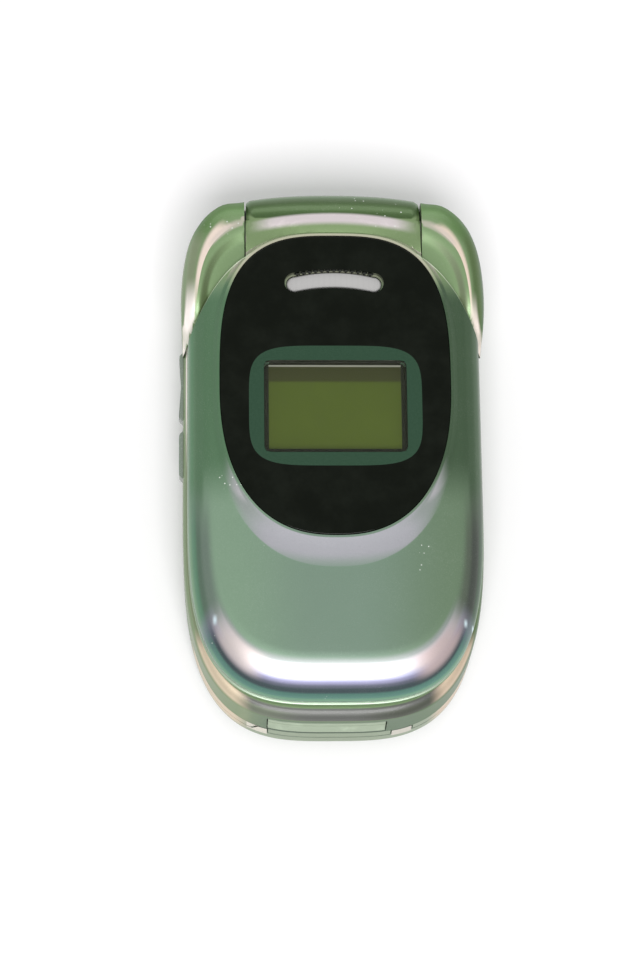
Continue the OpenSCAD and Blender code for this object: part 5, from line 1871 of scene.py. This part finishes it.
    def build_front(self) -> None:
        """Builds the front casing with its ears."""
        p = self.plan
        ear = self.ear().minus(p.axle(p.ear_x - 1, p.ear_x + 2.6, p.bore_r, 64))
        deck = self.shell().minus(self.room()).minus(p.axle(-p.ear_x, p.ear_x, p.barrel_r + p.turn_gap))
        deck = deck.minus(Form.box((-p.ear_x, p.hinge_y, p.trough_z), (p.ear_x, p.back + 6, 22)))
        for tool in self.openings():
            deck = deck.minus(tool)
        deck.with_parts([ear, ear.mirrored(), self.trough()])
        deck.piece("base_shell", "base", [BASE_PAINT_AND_PAINTED_LIGHT.material()], "silver_paint", ["base_front"])

    def rear_rings(self, top: float) -> list[Ring]:
        """Gives the rounded outlines of the back up to a height."""
        p = self.plan
        rings = []
        for a in quarter(10):
            draw = p.back_round * (1 - math.sin(a))
            rings.append(Ring(p.casing(draw, draw, draw), p.back_round * (1 - math.cos(a))))
        rings.append(Ring(p.casing(0.0, p.rake(top), 0.0), top))
        return rings

    def build_rear(self) -> None:
        """Builds the rear casing: the part at the hinge end and the rim above the battery pack."""
        p = self.plan
        latch_room = Form.box((-5.2, 7.5, -1), (5.2, 15.3, 3.2))
        contact_room = Form.box((7.8, 2.6, -1), (16.2, 6.0, 7.5))
        cuts = [latch_room, contact_room]
        cuts += [Form.box((x - 1.8, -p.bottom - 2.2, -1), (x + 1.8, -p.bottom + 2.2, p.seam_z + 1))
                 for x in self.hooks_x]
        speaker_x, speaker_y = self.speaker_at
        cuts += [Form.slab(pill(speaker_x + i * self.speaker_pitch, speaker_y, 0.8, 7 - abs(i), 4),
                           -1, p.wall + 1, 32) for i in range(-3, 4)]
        for x, y, head in ((p.half - 2.9, -10.0, 4.8), (p.half - 6.0, 31.8, 0.0)):
            for side in (-1, 1):
                cuts.append(Form.rod(self.screw_r, -1, head + 1.2, (side * x, y, 0), 40))
        form = Form.loft(self.rear_rings(p.seam_z), CASING_SEGMENTS).minus(Form().with_parts(cuts))
        well = Form.slab(p.casing(p.wall, p.rake(p.seam_z) + p.wall + 0.6, p.wall), 5.7, p.seam_z + 1, 160)
        chamber = Form.slab(p.casing(p.wall + 0.9, 0, p.wall + 0.9), p.wall, 5.8, 160)
        hinge_end = Form.box((-40, 16.6, 0), (40, 60, 7))
        battery_room = Form.box((-40, -60, -2), (40, 8.5, 4.8))
        form = form.minus(well).minus(chamber.within(hinge_end)).minus(battery_room)
        form.piece("rear_shell", "base", [BACK_PAINT_AND_PAINTED_LIGHT.material()], "silver_paint", ["base_rear"])

    def build_battery(self) -> None:
        """Builds the battery pack's case with its slanted end and hooks."""
        p = self.plan
        end = self.case_end
        form = Form.loft(self.rear_rings(self.case_top), CASING_SEGMENTS)
        form = form.minus(Form.box((-40, end, -1), (40, 60, 8)))
        slant = [(end + 1, 2.7), (end, 2.7), (6.7, 0.0), (6.7, -1.0), (end + 1, -1.0)]
        form = form.minus(p.across(slant, -p.half - 1, p.half + 1))
        form = form.minus(Form.box((-16.7, -33.9, 0.9), (16.7, 2.5, 7)))
        whole = Form.loft(self.rear_rings(p.seam_z), CASING_SEGMENTS)
        hooks = [Form.box((x - 1.6, -p.bottom - 2, 4.2), (x + 1.6, -p.bottom + 2, 6.0)) for x in self.hooks_x]
        form = form.plus(Form().with_parts(hooks).within(whole))
        grip = [Form.slab(pill(0, self.grip_y + self.grip_pitch * i, 15 - 1.2 * abs(i), 0.55, 2.6),
                          -0.5, self.grip_depth, 48) for i in range(-2, 3)]
        form = form.minus(Form().with_parts(grip))
        form.piece("battery_shell", "battery", [BACK_PAINT_AND_PAINTED_LIGHT.material()], "battery_paint", ["battery_case"])

    def build_port_cover(self) -> None:
        """Builds the connector cover in the bottom end, with a raised middle and a finger lip."""
        p, top, end = self.plan, self.port_top, -self.plan.bottom

        def skin(inset: float, below: float, above: float) -> Form:
            """Follows the bottom end at an inset, from below the cover to above it."""
            return Form.loft([Ring(p.casing(inset, p.rake(z) + inset, 0.0), z)
                              for z in (p.seam_z - below, top + above)], CASING_SEGMENTS)

        low, high = self.port_x - self.port_w / 2, self.port_x + self.port_w / 2
        form = skin(0.05, 0.1, 0.2).minus(skin(0.9, 0.2, 0.3))
        form = form.within(Form.box((low, end - 3, p.seam_z + 0.4), (high, end + 10, top)))
        groove = Form.box((low - 1, end - 3, top - 0.95), (high + 1, end + 20, top - 0.75))
        form = form.rounded(0.12, 2, SHARP).minus(groove.minus(skin(0.25, 0.2, 0.3)))
        form.piece("port_cover", "connector_door", [COVER_RUBBER.material()], "grey_rubber",
                   ["connector_cover"], FINE_CREASE)

    def build_side_controls(self) -> None:
        """Builds the volume rocker, the side key and the headset cover with soft edges."""
        paint = [SIDE_PAINT.material()]
        rocker = self.side_bar(self.rocker_at, 0.3, (-1, 1))
        rocker.piece("rocker_bar", "rocker", paint, "side_paint", ["volume_rocker"], FINE_CREASE)
        button = self.side_bar(self.side_key_at, 0.0, (0,))
        button.piece("side_button_bar", "side_button", paint, "side_paint", ["side_key"], FINE_CREASE)
        wall_x, y, z = -self.plan.half, self.jack_y, self.side_z
        cover = Form.box((wall_x - 0.2, y - 2.7, z - 1.5), (wall_x + 0.6, y + 2.7, z + 1.5))
        cover = cover.rounded(0.3, 3, SHARP, lambda e: any(v.co.x < wall_x for v in e.verts))
        nick = Form.box((wall_x - 0.4, y - 2.8, z - 0.5), (wall_x + 0.05, y - 2.2, z + 0.5))
        cover.minus(nick).piece("jack_flap", "jack_door", [JACK_RUBBER.material()], "grey_rubber",
                                ["jack_cover"], FINE_CREASE)

    def side_bar(self, at: tuple[float, float], dish: float, ticks: Sequence[int]) -> Form:
        """Makes a bar in the left side with softened edges, ticks and an inner rim that holds it.

        Args:
            at: its middle along the phone and its length.
            dish: how far its middle is drawn in.
            ticks: places of its ticks, from -1 at one end to 1 at the other.

        Returns:
            The form.
        """
        y, half = at[0], at[1] / 2
        z, tall, wall_x = self.side_z, self.side_h / 2, -self.plan.half
        out, inner = wall_x - 0.6, wall_x + self.plan.wall + 0.4
        edge = curve_through([(wall_x + 0.1, -half), (out + 0.12, -half + 0.55), (out, -half + 1.3),
                              (out + dish, 0), (out, half - 1.3), (out + 0.12, half - 0.55),
                              (wall_x + 0.1, half)], 6)
        bar = Form.prism([(inner, half), (inner, -half), *edge], z - tall, z + tall)
        bar = bar.rounded(0.2, 2, SHARP, lambda e: all(v.co.x < wall_x for v in e.verts))
        rim = Form.box((inner, -half - 0.5, z - 2.0), (inner + 0.5, half + 0.5, z + 1.25))
        cuts = [Form.box((out - 1, place * (half - 2.2) - 0.12, z - 0.7),
                         (out + 0.1, place * (half - 2.2) + 0.12, z + 0.7)) for place in ticks]
        return bar.minus(Form().with_parts(cuts)).with_parts([rim]).moved((0, y, 0))

    def build(self) -> None:
        """Builds every piece of the base."""
        self.build_front()
        self.build_rear()
        self.build_battery()
        self.build_port_cover()
        self.build_side_controls()


# ---------- Inner parts ----------


@dataclass(frozen=True)
class Works:
    """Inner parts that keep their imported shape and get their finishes."""

    def finishes(self) -> dict[str, Finish]:
        """Gives the finish of each node."""
        return {
            "base_screws": STEEL, "lid_screws": STEEL, "hinge_shaft": STEEL, "hinge_can": STEEL,
            "hinge_spring": STEEL, "latch_spring": STEEL, "vibration_motor": STEEL, "shield_cans": TIN,
            "bottom_connector": TIN, "side_switches": TIN, "microphone": TIN, "battery_contacts": GOLD,
            "lid_magnet": MAGNET, "battery_cell": CELL_WRAP, "circuit_board": BOARD, "lid_board": BOARD,
            "dome_sheet": FILM, "keymat": MAT_RUBBER, "lid_bumpers": PAD_RUBBER,
            "loudspeaker": CASE_BLACK, "earpiece": CASE_BLACK,
            "headset_jack": CASE_BLACK, "hinge_bush": CASE_BLACK, "hinge_flex": FLEX, "antenna": CREAM,
            "outer_display": OUTER_CRYSTAL, "main_display": MAIN_CRYSTAL, "battery_latch": SIDE_PAINT,
        }

    def build(self) -> None:
        """Dresses every node that stays."""
        for name, finish in self.finishes().items():
            node = frame["nodes"][name]
            data = node.data
            data.materials.clear()
            data.materials.append(finish.material())
            LOG.info("%s: dressed", name)


# ---------- Studio ----------


@dataclass(frozen=True)
class Lamp:
    """Soft rectangular lamp aimed at the phone."""

    name: str
    tilt: float
    turn: float
    reach: float
    size: tuple[float, float]
    power: float
    tint: Colour = (1.0, 1.0, 1.0)
    height: float = 0.011

    def hang(self) -> None:
        """Hangs the lamp: tilt from straight above, turn clockwise from +Y, reach in metres."""
        data = bpy.data.lights.new(self.name, "AREA")
        data.shape, data.size, data.size_y = "RECTANGLE", *self.size
        data.energy, data.color = self.power, self.tint
        lamp = bpy.data.objects.new(self.name, data)
        bpy.context.scene.collection.objects.link(lamp)
        tilt, turn = math.radians(self.tilt), math.radians(self.turn)
        aim = Vector((math.sin(tilt) * math.sin(turn), math.sin(tilt) * math.cos(turn), math.cos(tilt)))
        lamp.location = aim * self.reach + Vector((0, 0, self.height))
        lamp.rotation_euler = aim.to_track_quat("Z", "Y").to_euler()


@dataclass(frozen=True)
class Studio:
    """Pale floor, plain room light, lamps and the camera.

    Attributes:
        distance: from the camera to the phone's middle, in metres.
        tilt: the camera's tilt from straight above toward the bottom end, in degrees.
        lean: its lean toward the right side, in degrees.
        scale: pixels per metre at the phone's middle.
        centre: where that middle lies in the render, in pixels.
        frame: size of the render, in pixels.
        aim: height of the phone's middle, in metres.
        sensor: height of the camera's sensor, in millimetres.
        clip: nearest and farthest distance that it sees, in metres.
        floor_size: half width of the floor, in millimetres.
        paper: tone of the floor.
        room: strength of the room's light.
    """

    distance: float = 0.400
    tilt: float = 14.0
    lean: float = -3.0
    scale: float = 6200.0
    centre: tuple[float, float] = (333.0, 465.0)
    frame: tuple[int, int] = (637, 968)
    aim: float = 0.011
    sensor: float = 24.0
    clip: tuple[float, float] = (0.01, 20.0)
    floor_size: float = 3000.0
    paper: Colour = (0.86, 0.86, 0.86)
    room: float = 0.62

    def floor(self) -> None:
        """Lays the floor, which keeps the phone's shadow."""
        form = Form()
        bmesh.ops.create_grid(form.mesh, x_segments=1, y_segments=1, size=self.floor_size)
        form.moved((0, 0, -0.02))
        bmesh.ops.transform(form.mesh, verts=form.mesh.verts[:], matrix=Matrix.Scale(MM, 4))
        data = bpy.data.meshes.new("floor")
        form.mesh.to_mesh(data)
        floor = bpy.data.objects.new("floor", data)
        bpy.context.scene.collection.objects.link(floor)
        g = Graph("floor_paper")
        g.set(Base_Color=self.paper, Roughness=0.9)
        floor.data.materials.append(g.material)

    def world(self) -> None:
        """Sets the plain light of the room."""
        world = bpy.data.worlds.new("room")
        bpy.context.scene.world = world
        world.use_nodes = True
        back = next(n for n in world.node_tree.nodes if n.type == "BACKGROUND")
        back.inputs["Color"].default_value = (1, 1, 1, 1)
        back.inputs["Strength"].default_value = self.room

    def camera(self) -> None:
        """Places the camera at the viewing angle."""
        data = bpy.data.cameras.new("camera")
        thing = bpy.data.objects.new("camera", data)
        bpy.context.scene.collection.objects.link(thing)
        bpy.context.scene.camera = thing
        tilt, lean = math.radians(self.tilt), math.radians(self.lean)
        away = Vector((math.sin(lean), -math.sin(tilt) * math.cos(lean), math.cos(tilt) * math.cos(lean)))
        thing.location = Vector((0, 0, self.aim)) + away * self.distance
        side = Vector((1, 0, 0)) - away * away.x
        side.normalize()
        up = away.cross(side)
        turn = Matrix((side, up, away)).transposed()
        thing.rotation_euler = turn.to_euler()
        width, height = self.frame
        data.sensor_fit = "VERTICAL"
        data.sensor_height = self.sensor
        data.lens = data.sensor_height * self.scale * self.distance / height
        data.shift_x = (width / 2 - self.centre[0]) / height
        data.shift_y = (self.centre[1] - height / 2) / height
        data.dof.use_dof = False
        data.clip_start, data.clip_end = self.clip

    def build(self) -> None:
        """Builds the studio."""
        self.world()
        self.floor()
        self.camera()
        Lamp("front_panel", tilt=32, turn=180, reach=0.9, size=(0.46, 0.36), power=6.2,
             tint=(1.0, 0.98, 1.0)).hang()
        Lamp("back_strip", tilt=62, turn=0, reach=0.9, size=(1.0, 0.3), power=2.2,
             tint=(1.0, 0.97, 1.0)).hang()
        bpy.context.scene.view_settings.view_transform = "Standard"


def main() -> None:
    """Builds the phone's pieces in order, then the studio."""
    logging.basicConfig(level=logging.INFO, format="%(name)s %(message)s")
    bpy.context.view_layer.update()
    Lid().build()
    Base().build()
    Keypad().build()
    Works().build()
    Studio().build()


if __name__ == "__main__":
    main()
